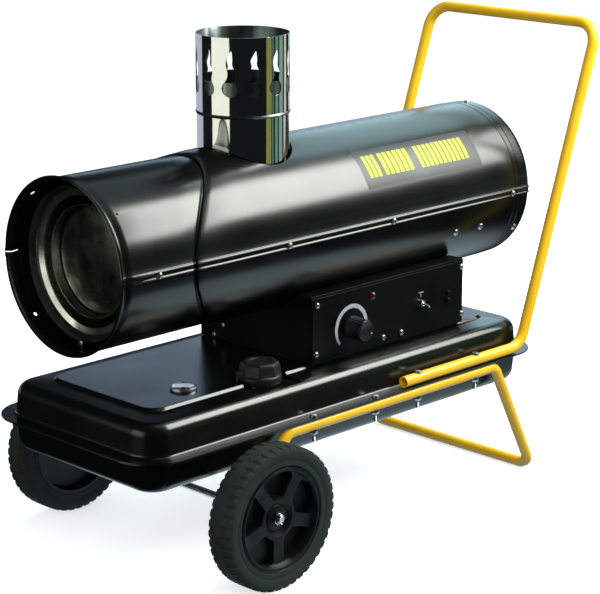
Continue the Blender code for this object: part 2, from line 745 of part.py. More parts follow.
def build_filler():
    """Make the filler neck and the lobed cap that lifts off it."""
    foot = SCALLOP_FLOOR + GAP
    inside = NECK_RADIUS - NECK_WALL
    neck = [(inside, NECK_HEIGHT), (NECK_RADIUS, NECK_HEIGHT), (NECK_RADIUS, NECK_WALL),
            (NECK_RADIUS + NECK_FLANGE, NECK_WALL), (NECK_RADIUS + NECK_FLANGE, 0), (NECK_RADIUS, 0),
            (NECK_RADIUS, -NECK_DEPTH), (inside, -NECK_DEPTH)]
    turned("filler_neck", neck, place(FILLER_X, FILLER_Y, foot), (0, 0, 1), "zinc", ROUND_SIDES, closed=True)
    base = foot + NECK_WALL + GAP
    rings = []
    skirt = [(CAP_RADIUS, 0, 0), (CAP_RADIUS, CAP_SKIRT_HEIGHT, 0)]
    grip_top = CAP_SKIRT_HEIGHT + CAP_GRIP_HEIGHT
    grip = [(CAP_RADIUS - CAP_CHAMFER / 2, CAP_SKIRT_HEIGHT, 1), (CAP_TOP_RADIUS + CAP_CHAMFER, grip_top - CAP_CHAMFER, 1),
            (CAP_TOP_RADIUS, grip_top, 1)]
    points = CAP_LOBES * 3
    for radius, height, lobed in skirt + grip:
        ring = []
        for i in range(points):
            angle = math.tau * i / points
            wave = (1 - math.cos(angle * CAP_LOBES)) / 2
            reach = radius - lobed * CAP_LOBE_DEPTH * wave
            ring.append(Vector((reach * math.cos(angle), reach * math.sin(angle), height)))
        rings.append(ring)
    cap = loft("filler_cap", rings, place(FILLER_X, FILLER_Y, base), "cap_plastic")
    room = NECK_RADIUS + CAP_LIFT_CLEARANCE
    depth = NECK_HEIGHT - NECK_WALL
    combine(cap, cylinder("cap_inside", place(FILLER_X, FILLER_Y, base - OVERRUN),
                          place(FILLER_X, FILLER_Y, base + depth), room, sides=ROUND_SIDES))
    return cap


def build_gauge():
    """Make the fuel gauge: housing, lens, pointer, float arm and float."""
    base = place(GAUGE_X, GAUGE_Y, PLATEAU_TOP + GAP)
    inside = GAUGE_RADIUS - GAUGE_WALL
    dial = GAUGE_HEIGHT - GAUGE_DIAL_DEPTH
    housing = turned("gauge_housing", [
        (0, dial), (inside, dial), (inside, GAUGE_HEIGHT), (GAUGE_RADIUS, GAUGE_HEIGHT), (GAUGE_RADIUS, 0),
        (GAUGE_STEM_RADIUS, 0), (GAUGE_STEM_RADIUS, -GAUGE_STEM_LENGTH), (0, -GAUGE_STEM_LENGTH)],
        base, (0, 0, 1), "aluminium", ROUND_SIDES)
    pivot = base + Vector((0, 0, PIVOT_RISE - GAUGE_STEM_LENGTH))
    slot = GAUGE_SLOT / 2
    deep = GAUGE_STEM_RADIUS + OVERRUN
    combine(housing, block("float_slot", pivot + Vector((-slot, -deep, -PIVOT_RISE - OVERRUN)),
                           pivot + Vector((slot, deep, PIVOT_RISE))))
    combine(housing, cylinder("pivot_hole", pivot - Vector((deep, 0, 0)), pivot + Vector((deep, 0, 0)),
                              PIVOT_BORE, sides=HOLE_SIDES))
    combine(housing, cylinder("spindle_hole", base + Vector((0, 0, dial - SPINDLE_LENGTH)),
                              base + Vector((0, 0, dial + OVERRUN)), bore(SPINDLE_RADIUS, HOLE_SIDES),
                              sides=HOLE_SIDES))
    lens_base = base + Vector((0, 0, GAUGE_HEIGHT - LENS_SHEET))
    cylinder("gauge_lens", lens_base, lens_base + Vector((0, 0, LENS_SHEET)), inside - GAP, "clear", ROUND_SIDES)
    floor = base + Vector((0, 0, dial + GAP))
    pointer = cylinder("gauge_pointer", floor - Vector((0, 0, SPINDLE_LENGTH - GAP)),
                       floor + Vector((0, 0, POINTER_SHEET)), SPINDLE_RADIUS, "red", HOLE_SIDES)
    half = POINTER_WIDTH / 2
    join(pointer, [block("pointer_blade", floor + Vector((-half, -half, 0)),
                         floor + Vector((POINTER_LENGTH, half, POINTER_SHEET)))])
    pin = Vector((PIVOT_PIN_HALF, 0, 0))
    arm = cylinder("gauge_arm", pivot - pin, pivot + pin, PIVOT_PIN_RADIUS, "zinc", HOLE_SIDES)
    along = Vector((0, math.cos(FLOAT_ARM_ANGLE), math.sin(FLOAT_ARM_ANGLE)))
    join(arm, [cylinder("float_wire", pivot, pivot + along * FLOAT_ARM, FLOAT_WIRE, sides=HEX_SIDES)])
    end = FLOAT_ARM - OVERRUN
    start = pivot + along * (end - FLOAT_LENGTH)
    body = cylinder("gauge_float", start, pivot + along * end, FLOAT_RADIUS, "foam", SMALL_SIDES)
    combine(body, cylinder("float_bore", start - along * OVERRUN, pivot + along * (end + OVERRUN), bore(FLOAT_WIRE, HOLE_SIDES),
                           sides=HOLE_SIDES))
    return housing


def leg_corners():
    """Return the corners of the leg tube, from the near axle end round to the far one."""
    foot = place(LEG_FOOT, -FRAME_HALF_WIDTH, FRAME_RADIUS)
    bend = place(LEG_FRONT_BEND, -FRAME_HALF_WIDTH, LEG_HEIGHT)
    axle = place(0, -FRAME_HALF_WIDTH, WHEEL_RADIUS)
    start = axle + (axle - bend).normalized() * LEG_END_PAST_AXLE
    near = [start, bend, place(LEG_REAR_BEND, -FRAME_HALF_WIDTH, LEG_HEIGHT), foot]
    return near + [mirror_y(point) for point in reversed(near)]


def build_leg_frame():
    """Bend the lower tube: axle ends, rails under the flange, rear legs and floor bar."""
    corners = leg_corners()
    bends = [LEG_BEND_RADIUS, LEG_BEND_RADIUS, FOOT_BEND_RADIUS]
    leg = as_mesh(tube("leg_frame", rounded_path(corners, bends + bends[::-1]), FRAME_RADIUS, "yellow_powder"))
    reach = FRAME_HALF_WIDTH + FRAME_RADIUS + OVERRUN
    combine(leg, cylinder("axle_hole", place(0, -reach, WHEEL_RADIUS), place(0, reach, WHEEL_RADIUS),
                          AXLE_BORE, sides=SMALL_SIDES))
    return drill_for_bolts(leg, bolt_places())


def build_handle():
    """Bend the push handle: open lower ends on the flange, leaning uprights and top bar."""
    end = place(HANDLE_END, -FRAME_HALF_WIDTH, HANDLE_HEIGHT)
    near = [end, place(HANDLE_BEND, -FRAME_HALF_WIDTH, HANDLE_HEIGHT),
            place(HANDLE_TOP, -FRAME_HALF_WIDTH, HANDLE_TOP_HEIGHT)]
    corners = near + [mirror_y(point) for point in reversed(near)]
    bends = [HANDLE_BEND_RADIUS, HANDLE_TOP_RADIUS]
    handle = as_mesh(tube("push_handle", rounded_path(corners, bends + bends[::-1]), FRAME_RADIUS, "yellow_powder"))
    for side, point in (("near", end), ("far", mirror_y(end))):
        combine(handle, cylinder("handle_bore_" + side, point - Vector((OVERRUN, 0, 0)),
                                 point + Vector((FRAME_BORE_DEPTH, 0, 0)), FRAME_BORE, sides=SMALL_SIDES))
    return drill_for_bolts(handle, [spot for spot in bolt_places() if spot[2]])


def build_frame_bolts():
    """Turn the eight bolts that clamp the tubes to the flange, each with its nut."""
    for index, (x, side, is_long) in enumerate(bolt_places(), 1):
        top = HANDLE_HEIGHT + FRAME_RADIUS if is_long else TANK_FLANGE_TOP
        head = top + GAP
        nut = LEG_HEIGHT - FRAME_RADIUS - GAP
        tail = nut - BOLT_TAIL
        profile = [(0, head + BOLT_HEAD_HEIGHT), (BOLT_HEAD_RADIUS, head + BOLT_HEAD_HEIGHT),
                   (BOLT_HEAD_RADIUS, head), (BOLT_RADIUS, head), (BOLT_RADIUS, nut), (BOLT_HEAD_RADIUS, nut),
                   (BOLT_HEAD_RADIUS, nut - BOLT_NUT_HEIGHT), (BOLT_RADIUS, nut - BOLT_NUT_HEIGHT),
                   (BOLT_RADIUS, tail), (0, tail)]
        turned("frame_bolt_%d" % index, profile, place(x, side * FRAME_HALF_WIDTH, 0), (0, 0, 1), "zinc", HEX_SIDES)


def build_axle():
    """Turn the axle rod, which carries a thread stub past each hub nut."""
    end = HUB_OUTER_FACE + GAP + NUT_HEIGHT + GAP
    return cylinder("axle", place(0, -end, WHEEL_RADIUS), place(0, end, WHEEL_RADIUS), AXLE_RADIUS, "zinc", SMALL_SIDES)


def tyre_section(step):
    """Return one section of the tyre as (radius, inset from the outer face)."""
    first = TREAD_DEPTH if step % 2 else 0
    second = 0 if step % 2 else TREAD_DEPTH
    crown = WHEEL_RADIUS
    edge = WHEEL_RADIUS - TYRE_SHOULDER
    middle = TYRE_WIDTH / 2
    seat = RIM_RADIUS + 2 * GAP
    return [(seat, SIDEWALL_DISH), (edge, 0), (crown - first, TYRE_SHOULDER / 2),
            (crown, middle), (crown - second, TYRE_WIDTH - TYRE_SHOULDER / 2), (edge, TYRE_WIDTH),
            (seat, TYRE_WIDTH - SIDEWALL_DISH)]


def opening_outline():
    """Return the outline of one pocket between two spokes, with rounded corners."""
    sector = math.tau / SPOKE_COUNT
    inner = HUB_RADIUS + 2 * OPENING_FILLET
    outer = RIM_RADIUS - RIM_LIP - RIM_WALL
    middle = SPOKE_FIRST_ANGLE + sector / 2

    def corner(radius, side):
        """Return the corner where a circle meets the flank of a spoke."""
        angle = middle + side * (sector / 2 - math.asin(SPOKE_WIDTH / 2 / radius))
        return Vector((radius * math.cos(angle), radius * math.sin(angle), 0))

    arc = [Vector((outer * math.cos(middle + share * sector), outer * math.sin(middle + share * sector), 0))
           for share in OPENING_CROWN_SHARES]
    corners = [corner(inner, -1), corner(outer, -1), arc[0], arc[1], corner(outer, 1), corner(inner, 1)]
    ring = []
    for index, point in enumerate(corners):
        before = corners[index - 1]
        after = corners[(index + 1) % len(corners)]
        if index in (2, 3):
            ring.append((point.x, point.y))
            continue
        inward = (before - point).normalized()
        outward = (after - point).normalized()
        ring.extend(((point + inward * OPENING_FILLET).to_tuple()[:2],
                     (point + outward * OPENING_FILLET).to_tuple()[:2]))
    return ring


def build_wheel(name, side):
    """Make a lugged tyre, a five-spoke rim and a hub nut on one side of the axle."""
    rings = []
    for step in range(TREAD_STEPS):
        angle = math.tau * step / TREAD_STEPS - math.pi / 2
        rings.append([Vector((radius * math.cos(angle), side * (TYRE_OUTER_FACE - inset), radius * math.sin(angle)))
                      for radius, inset in tyre_section(step)])
    work = bmesh.new()
    levels = [[work.verts.new(point) for point in ring] for ring in rings]
    for step, lower in enumerate(levels):
        upper = levels[(step + 1) % TREAD_STEPS]
        for i in range(len(lower)):
            j = (i + 1) % len(lower)
            work.faces.new((lower[i], lower[j], upper[j], upper[i]))
    tyre = add_mesh("tyre_" + name, work, "rubber")
    tyre.location = place(0, 0, WHEEL_RADIUS)

    width = TYRE_WIDTH - 2 * SIDEWALL_DISH
    lip = RIM_RADIUS - RIM_LIP
    face = width / 2 - WEB_DISH
    back = face - WEB_THICKNESS
    middle = TYRE_OUTER_FACE - TYRE_WIDTH / 2
    hub_face = HUB_OUTER_FACE - middle
    hub_back = FRAME_HALF_WIDTH + FRAME_RADIUS + 2 * GAP - middle
    profile = [(AXLE_BORE, hub_face), (HUB_RADIUS, hub_face), (HUB_RADIUS, face), (lip - RIM_WALL, face),
               (lip, width / 2), (RIM_RADIUS, width / 2), (RIM_RADIUS, -width / 2), (lip, -width / 2),
               (lip - RIM_WALL, back), (HUB_RADIUS, back), (HUB_RADIUS - RIM_WALL, hub_back), (AXLE_BORE, hub_back)]
    rim = turned("rim_" + name, profile, place(0, side * middle, WHEEL_RADIUS), (0, side, 0), "rim_plastic",
                 RIM_STEPS, closed=True)
    for spoke in range(SPOKE_COUNT):
        opening = plate("%s_pocket_%d" % (name, spoke), [opening_outline()], TYRE_WIDTH)
        opening.location = place(0, side * (middle + face - POCKET_DEPTH + TYRE_WIDTH / 2), WHEEL_RADIUS)
        opening.rotation_euler = (math.pi / 2, math.tau * spoke / SPOKE_COUNT, 0)
        combine(rim, as_mesh(opening))
    start = HUB_OUTER_FACE + GAP
    turned("hub_nut_" + name, [(AXLE_BORE, 0), (NUT_RADIUS, 0), (NUT_RADIUS, NUT_HEIGHT), (AXLE_BORE, NUT_HEIGHT)],
           place(0, side * start, WHEEL_RADIUS), (0, side, 0), "stainless", SMALL_SIDES, closed=True)


def joint_place(angle):
    """Return where the front and main shells meet, which swings rearward above and below the seam."""
    return -JOINT_MIDDLE + 2 * JOINT_SWING * math.sin(angle) ** 2


def front_stations(angle):
    """Return (x, radius, layer) along a front shell, from the rolled lip to the tongue.

    Layer 1 is the last of the body, where the lower shell makes way, and layer 2 is the tongue.
    """
    lip = -TUBE_FRONT
    joint = joint_place(angle)
    low = FRONT_RADIUS - JOINT_DEPTH
    return [(lip, LIP_RADIUS - LIP_LENGTH / 2, 0), (lip + LIP_LENGTH / 2, LIP_RADIUS, 0),
            (lip + LIP_LENGTH, LIP_RADIUS - LIP_LENGTH / 4, 0), (lip + LIP_GROOVE_RUN, FRONT_RADIUS - LIP_GROOVE_DEPTH, 0),
            (lip + 2 * LIP_GROOVE_RUN, FRONT_RADIUS, 0), (joint - JOINT_GROOVE, FRONT_RADIUS, 0),
            (joint - 2 * GAP, low, 1), (joint, low, 2), (joint + JOINT_TONGUE, low, 2)]


def main_stations(angle, crown=0):
    """Return (x, radius, layer) along a main shell, from the rolled front edge to the rear one."""
    joint = joint_place(angle)
    full = MAIN_RADIUS + crown * math.sin(angle) ** 2
    edge = FRONT_RADIUS - JOINT_DEPTH + SHEET + 2 * GAP
    rise = full - FRONT_RADIUS
    rear = TUBE_REAR
    return [(joint + GAP, edge, 0), (joint + JOINT_ROLL / 2, FRONT_RADIUS + rise / 4, 0),
            (joint + JOINT_ROLL, FRONT_RADIUS + rise / 2, 0), (joint + JOINT_RISE, full, 0),
            (rear - REAR_BAND, full, 0), (rear - REAR_BAND + REAR_ROLL, full - REAR_BAND_DEPTH, 0),
            (rear - REAR_ROLL, full - REAR_BAND_DEPTH, 0), (rear, full - REAR_ROLL_DEPTH, 0)]


def shell_rows(upper):
    """Return (angle, lift, tongue angle) of each lengthwise row of a half shell, seam to seam.

    The upper shell laps outside the lower one at the seam, with a joggle above the lap.
    """
    rows = [(math.pi * row / SHELL_ROWS, 0, math.pi * row / SHELL_ROWS) for row in range(1, SHELL_ROWS)]
    if upper:
        lap = SHEET + 2 * GAP
        heights = ((-SEAM_DROP, lap), (SEAM_CREASE, lap), (SEAM_CREASE + SEAM_JOGGLE, 0))
        edge = [(math.asin(height / MAIN_RADIUS), lift, math.asin((number + 1) * SEAM_CREASE / 4 / MAIN_RADIUS))
                for number, (height, lift) in enumerate(heights)]
    else:
        edge = [(0, 0, math.asin((SEAM_DROP + OVERRUN / 4) / MAIN_RADIUS))]
    far = [(math.pi - angle, lift, math.pi - tongue) for angle, lift, tongue in reversed(edge)]
    return edge + rows + far


def build_shell(name, stations, upper):
    """Roll one half shell of the air tube, as a curved sheet with a thickness."""
    side = 1 if upper else -1
    work = bmesh.new()
    grid = []
    for angle, lift, tongue in shell_rows(upper):
        row = []
        for x, radius, layer in stations(angle):
            under = layer >= (2 if upper else 1)
            turn = tongue if under else angle
            reach = radius if under else radius + lift
            row.append(work.verts.new(place(x, -reach * math.cos(turn), TUBE_HEIGHT + side * reach * math.sin(turn))))
        grid.append(row)
    for first, second in zip(grid, grid[1:]):
        for i in range(len(first) - 1):
            work.faces.new((first[i], first[i + 1], second[i + 1], second[i]))
    bmesh.ops.recalc_face_normals(work, faces=work.faces)
    crown = work.faces[:][len(work.faces) // 2]
    if crown.normal.z * side < 0:
        bmesh.ops.reverse_faces(work, faces=work.faces)
    mesh = bpy.data.meshes.new(name)
    work.to_mesh(mesh)
    work.free()
    mesh.shade_smooth()
    mesh.set_sharp_from_angle(angle=SMOOTH_ANGLE)
    item = add_object(name, mesh, "black_gloss")
    sheet = item.modifiers.new("sheet", "SOLIDIFY")
    sheet.thickness = SHEET
    sheet.offset = -1
    return item


def build_air_tube():
    """Make the four shells of the air tube, with the flue port and the hose hole."""
    build_shell("shell_front_upper", front_stations, True)
    build_shell("shell_front_lower", front_stations, False)
    upper = build_shell("shell_main_upper", lambda angle: main_stations(angle, CROWN_RISE), True)
    lower = build_shell("shell_main_lower", main_stations, False)
    top = TUBE_HEIGHT + MAIN_RADIUS + CROWN_RISE + 2 * OVERRUN
    combine(upper, cylinder("flue_port", place(FLUE_X, 0, TUBE_HEIGHT + DRUM_RADIUS / 2), place(FLUE_X, 0, top),
                            PORT_RADIUS, sides=FINE_SIDES))
    hose_x = PUMP_FRONT + PUMP_LENGTH / 2
    combine(lower, cylinder("hose_port", place(hose_x, PORT_BOSS_Y, TUBE_HEIGHT - MAIN_RADIUS - OVERRUN),
                            place(hose_x, PORT_BOSS_Y, TUBE_HEIGHT - MAIN_RADIUS / 2), HOSE_HOLE, sides=SMALL_SIDES))


def build_heat_shield():
    """Turn the inner stainless tube with its flared mouth, and fix its two tabs to it."""
    rear = SHIELD_REAR
    front = -SHIELD_FRONT
    inside = SHIELD_RADIUS - SHEET
    profile = [(SHIELD_RADIUS, rear), (SHIELD_RADIUS, front + SHIELD_STEP), (SHIELD_STEP_RADIUS, front - SHIELD_STEP / 2),
               (SHIELD_FLARE_RADIUS, front - SHIELD_FLARE), (SHIELD_FLARE_RADIUS - SHEET, front - SHIELD_FLARE - SHEET),
               (SHIELD_STEP_RADIUS - SHEET, front - SHIELD_STEP), (SHIELD_MOUTH, front), (inside, front + SHIELD_STEP),
               (inside, rear)]
    shield = turned("heat_shield", profile, place(0, 0, TUBE_HEIGHT), (1, 0, 0), "hot_stainless", FINE_SIDES, closed=True)
    high = (FRONT_RADIUS - SHEET) - TAB_WIDTH / 2 * math.tan(math.pi / SHELL_ROWS / 2) - GAP
    mouth = front - SHIELD_FLARE
    low = SHIELD_FLARE_RADIUS - SHEET
    angle_iron = [(-TAB_SHEET, low), (TAB_SHEET, low), (TAB_SHEET, high - TAB_SHEET), (TAB_LENGTH, high - TAB_SHEET),
                  (TAB_LENGTH, high), (-TAB_SHEET, high)]
    tabs = []
    for name, side in (("lower", -1), ("upper", 1)):
        tab = plate("shield_tab_" + name, [[(x, side * z) for x, z in angle_iron]], TAB_WIDTH)
        tab.location = place(mouth, 0, TUBE_HEIGHT)
        tab.rotation_euler = (math.pi / 2, 0, 0)
        tabs.append(as_mesh(tab))
    join(shield, tabs)
    return combine(shield, cylinder("shield_port", place(FLUE_X, 0, TUBE_HEIGHT + OVERRUN),
                                    place(FLUE_X, 0, TUBE_HEIGHT + LIP_RADIUS), bore(FLUE_RADIUS, FINE_SIDES), sides=FINE_SIDES))


def build_drum():
    """Turn the combustion drum with its feet and flue opening, and the recessed disc that closes its front."""
    front = -DRUM_FRONT
    disc = front + DRUM_RIM
    rear = DRUM_REAR
    inside = DRUM_RADIUS - DRUM_SHEET
    entry = bore(BURNER_RADIUS, FINE_SIDES)
    profile = [(inside, front), (DRUM_RADIUS, front), (DRUM_RADIUS, rear), (entry, rear), (entry, rear - DRUM_SHEET),
               (inside, rear - DRUM_SHEET)]
    drum = turned("combustion_drum", profile, place(0, 0, TUBE_HEIGHT), (1, 0, 0), "hot_stainless", FINE_SIDES, closed=True)
    fit = inside - GAP / math.cos(math.pi / FINE_SIDES)
    skirt = disc + DRUM_SKIRT
    turned("drum_front", [(0, disc - DRUM_DISH), (fit / 2, disc - DRUM_DISH * 3 / 4), (fit - DRUM_SHEET, disc),
                          (fit, disc + DRUM_SHEET), (fit, skirt), (fit - DRUM_SHEET, skirt),
                          (fit - DRUM_SHEET, disc + 2 * DRUM_SHEET), (fit / 2, disc - DRUM_DISH * 3 / 4 + DRUM_SHEET),
                          (0, disc - DRUM_DISH + DRUM_SHEET)],
           place(0, 0, TUBE_HEIGHT), (1, 0, 0), "hot_stainless", FINE_SIDES)
    feet = []
    half = DRUM_FOOT_SIZE / 2
    flat = math.cos(math.pi / FINE_SIDES)
    reach = (SHIELD_RADIUS - SHEET) * flat - GAP
    root = DRUM_RADIUS * flat - DRUM_SHEET / 2
    for index, x in enumerate(DRUM_FOOT_PLACES):
        for number, angle in enumerate((math.radians(225), math.radians(315))):
            out = Vector((0, math.cos(angle), math.sin(angle)))
            base = place(x, 0, TUBE_HEIGHT)
            feet.append(cylinder("drum_foot_%d_%d" % (index, number), base + out * root,
                                 base + out * reach, half, sides=HOLE_SIDES))
    join(drum, feet)
    return combine(drum, cylinder("drum_flue_opening", place(FLUE_X, 0, TUBE_HEIGHT),
                                  place(FLUE_X, 0, TUBE_HEIGHT + LIP_RADIUS), FLUE_ENTRY, sides=ROUND_SIDES))


def build_flue():
    """Make the flue pipe, coped onto the drum, with its bead and the spigot inside the cowl."""
    inside = FLUE_RADIUS - FLUE_SHEET
    spigot = (COWL_RADIUS - COWL_SHEET) * math.cos(math.pi / COWL_STEPS) - GAP
    bead = FLUE_BEAD_HEIGHT
    profile = [(spigot, FLUE_SPIGOT_TOP), (spigot, bead + FLUE_BEAD), (FLUE_RADIUS + FLUE_BEAD, bead),
               (FLUE_RADIUS, bead - FLUE_BEAD), (FLUE_RADIUS, TUBE_HEIGHT), (inside, TUBE_HEIGHT),
               (inside, bead - FLUE_BEAD), (inside + FLUE_BEAD / 2, bead),
               (spigot - FLUE_SHEET, bead + FLUE_BEAD), (spigot - FLUE_SHEET, FLUE_SPIGOT_TOP)]
    flue = turned("flue_pipe", profile, place(FLUE_X, 0, 0), (0, 0, 1), "stainless", FINE_SIDES, closed=True)
    reach = FLUE_RADIUS + 2 * OVERRUN
    combine(flue, cylinder("flue_cope", place(FLUE_X - reach, 0, TUBE_HEIGHT), place(FLUE_X + reach, 0, TUBE_HEIGHT),
                           bore(DRUM_RADIUS, 2 * FINE_SIDES), sides=2 * FINE_SIDES))
    return flue


FLAME_LEFT_SHARES = ((0.00, 0.00), (-0.36, 0.04), (-0.50, 0.18), (-0.17, 0.42), (-0.12, 0.52), (-0.24, 0.72),
                     (0.10, 1.00))
FLAME_RIGHT_SHARES = ((0.17, 0.70), (0.36, 0.55), (0.25, 0.38), (0.50, 0.18), (0.36, 0.04))


def build_cowl():
    """Make the flue cowl, a sleeve over the spigot with a ring of flame-shaped cut-outs."""
    base = FLUE_BEAD_HEIGHT + FLUE_BEAD + GAP
    inside = COWL_RADIUS - COWL_SHEET
    cowl = turned("flue_cowl", [(COWL_RADIUS, COWL_TOP), (COWL_RADIUS, base), (inside, base), (inside, COWL_TOP)],
                  place(FLUE_X, 0, 0), (0, 0, 1), "stainless", COWL_STEPS, closed=True)
    outline = [(across * FLAME_WIDTH, up * FLAME_HEIGHT) for across, up in FLAME_LEFT_SHARES + FLAME_RIGHT_SHARES]
    for number in range(FLAME_COUNT):
        angle = math.tau * number / FLAME_COUNT
        flame = plate("flame_%d" % number, [outline], COWL_RADIUS / 2)
        out = Vector((math.cos(angle), math.sin(angle), 0))
        flame.matrix_world = Matrix.Translation(place(FLUE_X, 0, FLAME_BASE) + out * COWL_RADIUS) @ \
            Matrix.Rotation(angle + math.pi / 2, 4, "Z") @ Matrix.Rotation(math.pi / 2, 4, "X")
        combine(cowl, as_mesh(flame))
    return cowl


def build_burner():
    """Make the burner head: tube, flame disc, nozzle holder, electrodes and photocell."""
    centre = place(0, 0, TUBE_HEIGHT)
    front = DRUM_REAR - BURNER_ENTRY
    seat = DRUM_REAR + GAP
    rear = front + BURNER_LENGTH
    inside = BURNER_RADIUS - BURNER_SHEET
    hole = bore(NOZZLE_RADIUS, SMALL_SIDES)
    profile = [(hole, rear), (BURNER_RADIUS, rear), (BURNER_RADIUS, seat + BURNER_FLANGE_SHEET),
               (BURNER_FLANGE, seat + BURNER_FLANGE_SHEET), (BURNER_FLANGE, seat), (BURNER_RADIUS, seat),
               (BURNER_RADIUS, front), (inside, front), (inside, rear - BURNER_SHEET), (hole, rear - BURNER_SHEET)]
    burner = turned("burner_tube", profile, centre, (1, 0, 0), "grey_paint", ROUND_SIDES, closed=True)
    along = Vector((1, 0, 0))
    side = Vector((0, ELECTRODE_OFFSET, 0))
    for name, sign in (("near", -1), ("far", 1)):
        start = centre + along * (rear - BURNER_SHEET - OVERRUN) + side * sign
        combine(burner, cylinder("electrode_hole_" + name, start, start + along * (BURNER_SHEET + 2 * OVERRUN),
                                 bore(ELECTRODE_RADIUS, HOLE_SIDES), sides=HOLE_SIDES))
    up = Vector((0, 0, PHOTOCELL_OFFSET))
    start = centre + along * (rear - BURNER_SHEET - OVERRUN) + up
    combine(burner, cylinder("photocell_hole", start, start + along * (BURNER_SHEET + 2 * OVERRUN),
                             bore(PHOTOCELL_RADIUS, SMALL_SIDES), sides=SMALL_SIDES))

    disc_x = front + DISC_SET_BACK
    disc = turned("flame_disc", [(DISC_BORE, 0), (inside - GAP, 0), (inside - GAP, BURNER_SHEET), (DISC_BORE, BURNER_SHEET)],
                  centre + along * disc_x, (1, 0, 0), "hot_stainless", ROUND_SIDES, closed=True)
    for number in range(DISC_SLOTS):
        angle = math.tau * (number + 0.5) / DISC_SLOTS
        out = Vector((0, math.cos(angle), math.sin(angle)))
        middle = centre + along * (disc_x + BURNER_SHEET / 2)
        combine(disc, tube_cutter("disc_slot_%d" % number, middle + out * (DISC_BORE + OVERRUN),
                                  middle + out * (inside - OVERRUN), BURNER_SHEET))
    holder = turned("nozzle_holder", [(0, PUMP_FRONT - GAP), (NOZZLE_RADIUS, PUMP_FRONT - GAP),
                                      (NOZZLE_RADIUS, disc_x + NOZZLE_TIP), (NOZZLE_RADIUS / 3, disc_x), (0, disc_x)],
                    centre, (1, 0, 0), "brass", SMALL_SIDES)
    first = disc_x + BURNER_SHEET + OVERRUN
    electrodes = cylinder("ignition_electrodes", centre + along * first - side, centre + along * (rear + OVERRUN) - side,
                          ELECTRODE_RADIUS, "ceramic", HOLE_SIDES)
    clamp = block("electrode_clamp",
                  centre + along * (rear - BURNER_SHEET - 2 * OVERRUN - ELECTRODE_CLAMP) - side - up / 2,
                  centre + along * (rear - BURNER_SHEET - 2 * OVERRUN) + side + up / 2)
    combine(clamp, cylinder("clamp_bore", centre + along * first, centre + along * rear, hole, sides=SMALL_SIDES))
    second = cylinder("second_electrode", centre + along * first + side, centre + along * (rear + OVERRUN) + side,
                      ELECTRODE_RADIUS, sides=HOLE_SIDES)
    join(electrodes, [clamp, second])
    collar = PHOTOCELL_RADIUS + PHOTOCELL_RADIUS / 2
    turned("photocell", [(0, rear + ELECTRODE_CLAMP), (collar, rear + ELECTRODE_CLAMP), (collar, rear + GAP),
                         (PHOTOCELL_RADIUS, rear + GAP), (PHOTOCELL_RADIUS, rear - OVERRUN), (0, rear - OVERRUN)],
           centre + up, (1, 0, 0), "cap_plastic", SMALL_SIDES)
    return holder


def tube_cutter(name, start, end, radius):
    """Make a round cutter between two points."""
    return cylinder(name, start, end, radius, sides=HOLE_SIDES)


def build_pump():
    """Make the fuel pump with its foot and inlet boss, and the hose and pickup below it."""
    centre = place(0, 0, TUBE_HEIGHT)
    front = PUMP_FRONT
    rear = front + PUMP_LENGTH
    pump = turned("fuel_pump", [(0, rear), (PUMP_RADIUS, rear), (PUMP_RADIUS, front), (0, front)],
                  centre, (1, 0, 0), "aluminium", ROUND_SIDES)
    half = PUMP_FOOT_WIDTH / 2
    hose_x = front + PUMP_LENGTH / 2
    boss_low = TUBE_HEIGHT - PUMP_RADIUS - PORT_BOSS_DROP
    join(pump, [block("pump_foot", place(front + OVERRUN, -half, BRACKET_TOP + GAP),
                      place(rear - OVERRUN, PORT_BOSS_Y - 2 * PORT_BOSS_RADIUS, TUBE_HEIGHT - PUMP_RADIUS / 2)),
                cylinder("pump_boss", place(hose_x, PORT_BOSS_Y, boss_low),
                         place(hose_x, PORT_BOSS_Y, TUBE_HEIGHT - PUMP_RADIUS / 2), PORT_BOSS_RADIUS, sides=SMALL_SIDES)])
    hose_low = PLATEAU_TOP + GAP + PICKUP_RISE + GAP
    cylinder("suction_hose", place(hose_x, PORT_BOSS_Y, hose_low), place(hose_x, PORT_BOSS_Y, boss_low - GAP),
             HOSE_RADIUS, "rubber", SMALL_SIDES)
    foot = TANK_BOTTOM + PICKUP_FOOT_GAP
    plateau = PLATEAU_TOP + GAP
    profile = [(0, plateau + PICKUP_RISE), (PICKUP_RADIUS, plateau + PICKUP_RISE),
               (PICKUP_RADIUS, plateau + PICKUP_FLANGE_SHEET), (PICKUP_FLANGE, plateau + PICKUP_FLANGE_SHEET),
               (PICKUP_FLANGE, plateau), (PICKUP_RADIUS, plateau), (PICKUP_RADIUS, foot + STRAINER_HEIGHT),
               (STRAINER_RADIUS, foot + STRAINER_HEIGHT), (STRAINER_RADIUS, foot), (0, foot)]
    turned("fuel_pickup", profile, place(hose_x, PORT_BOSS_Y, 0), (0, 0, 1), "brass", SMALL_SIDES)
    return pump


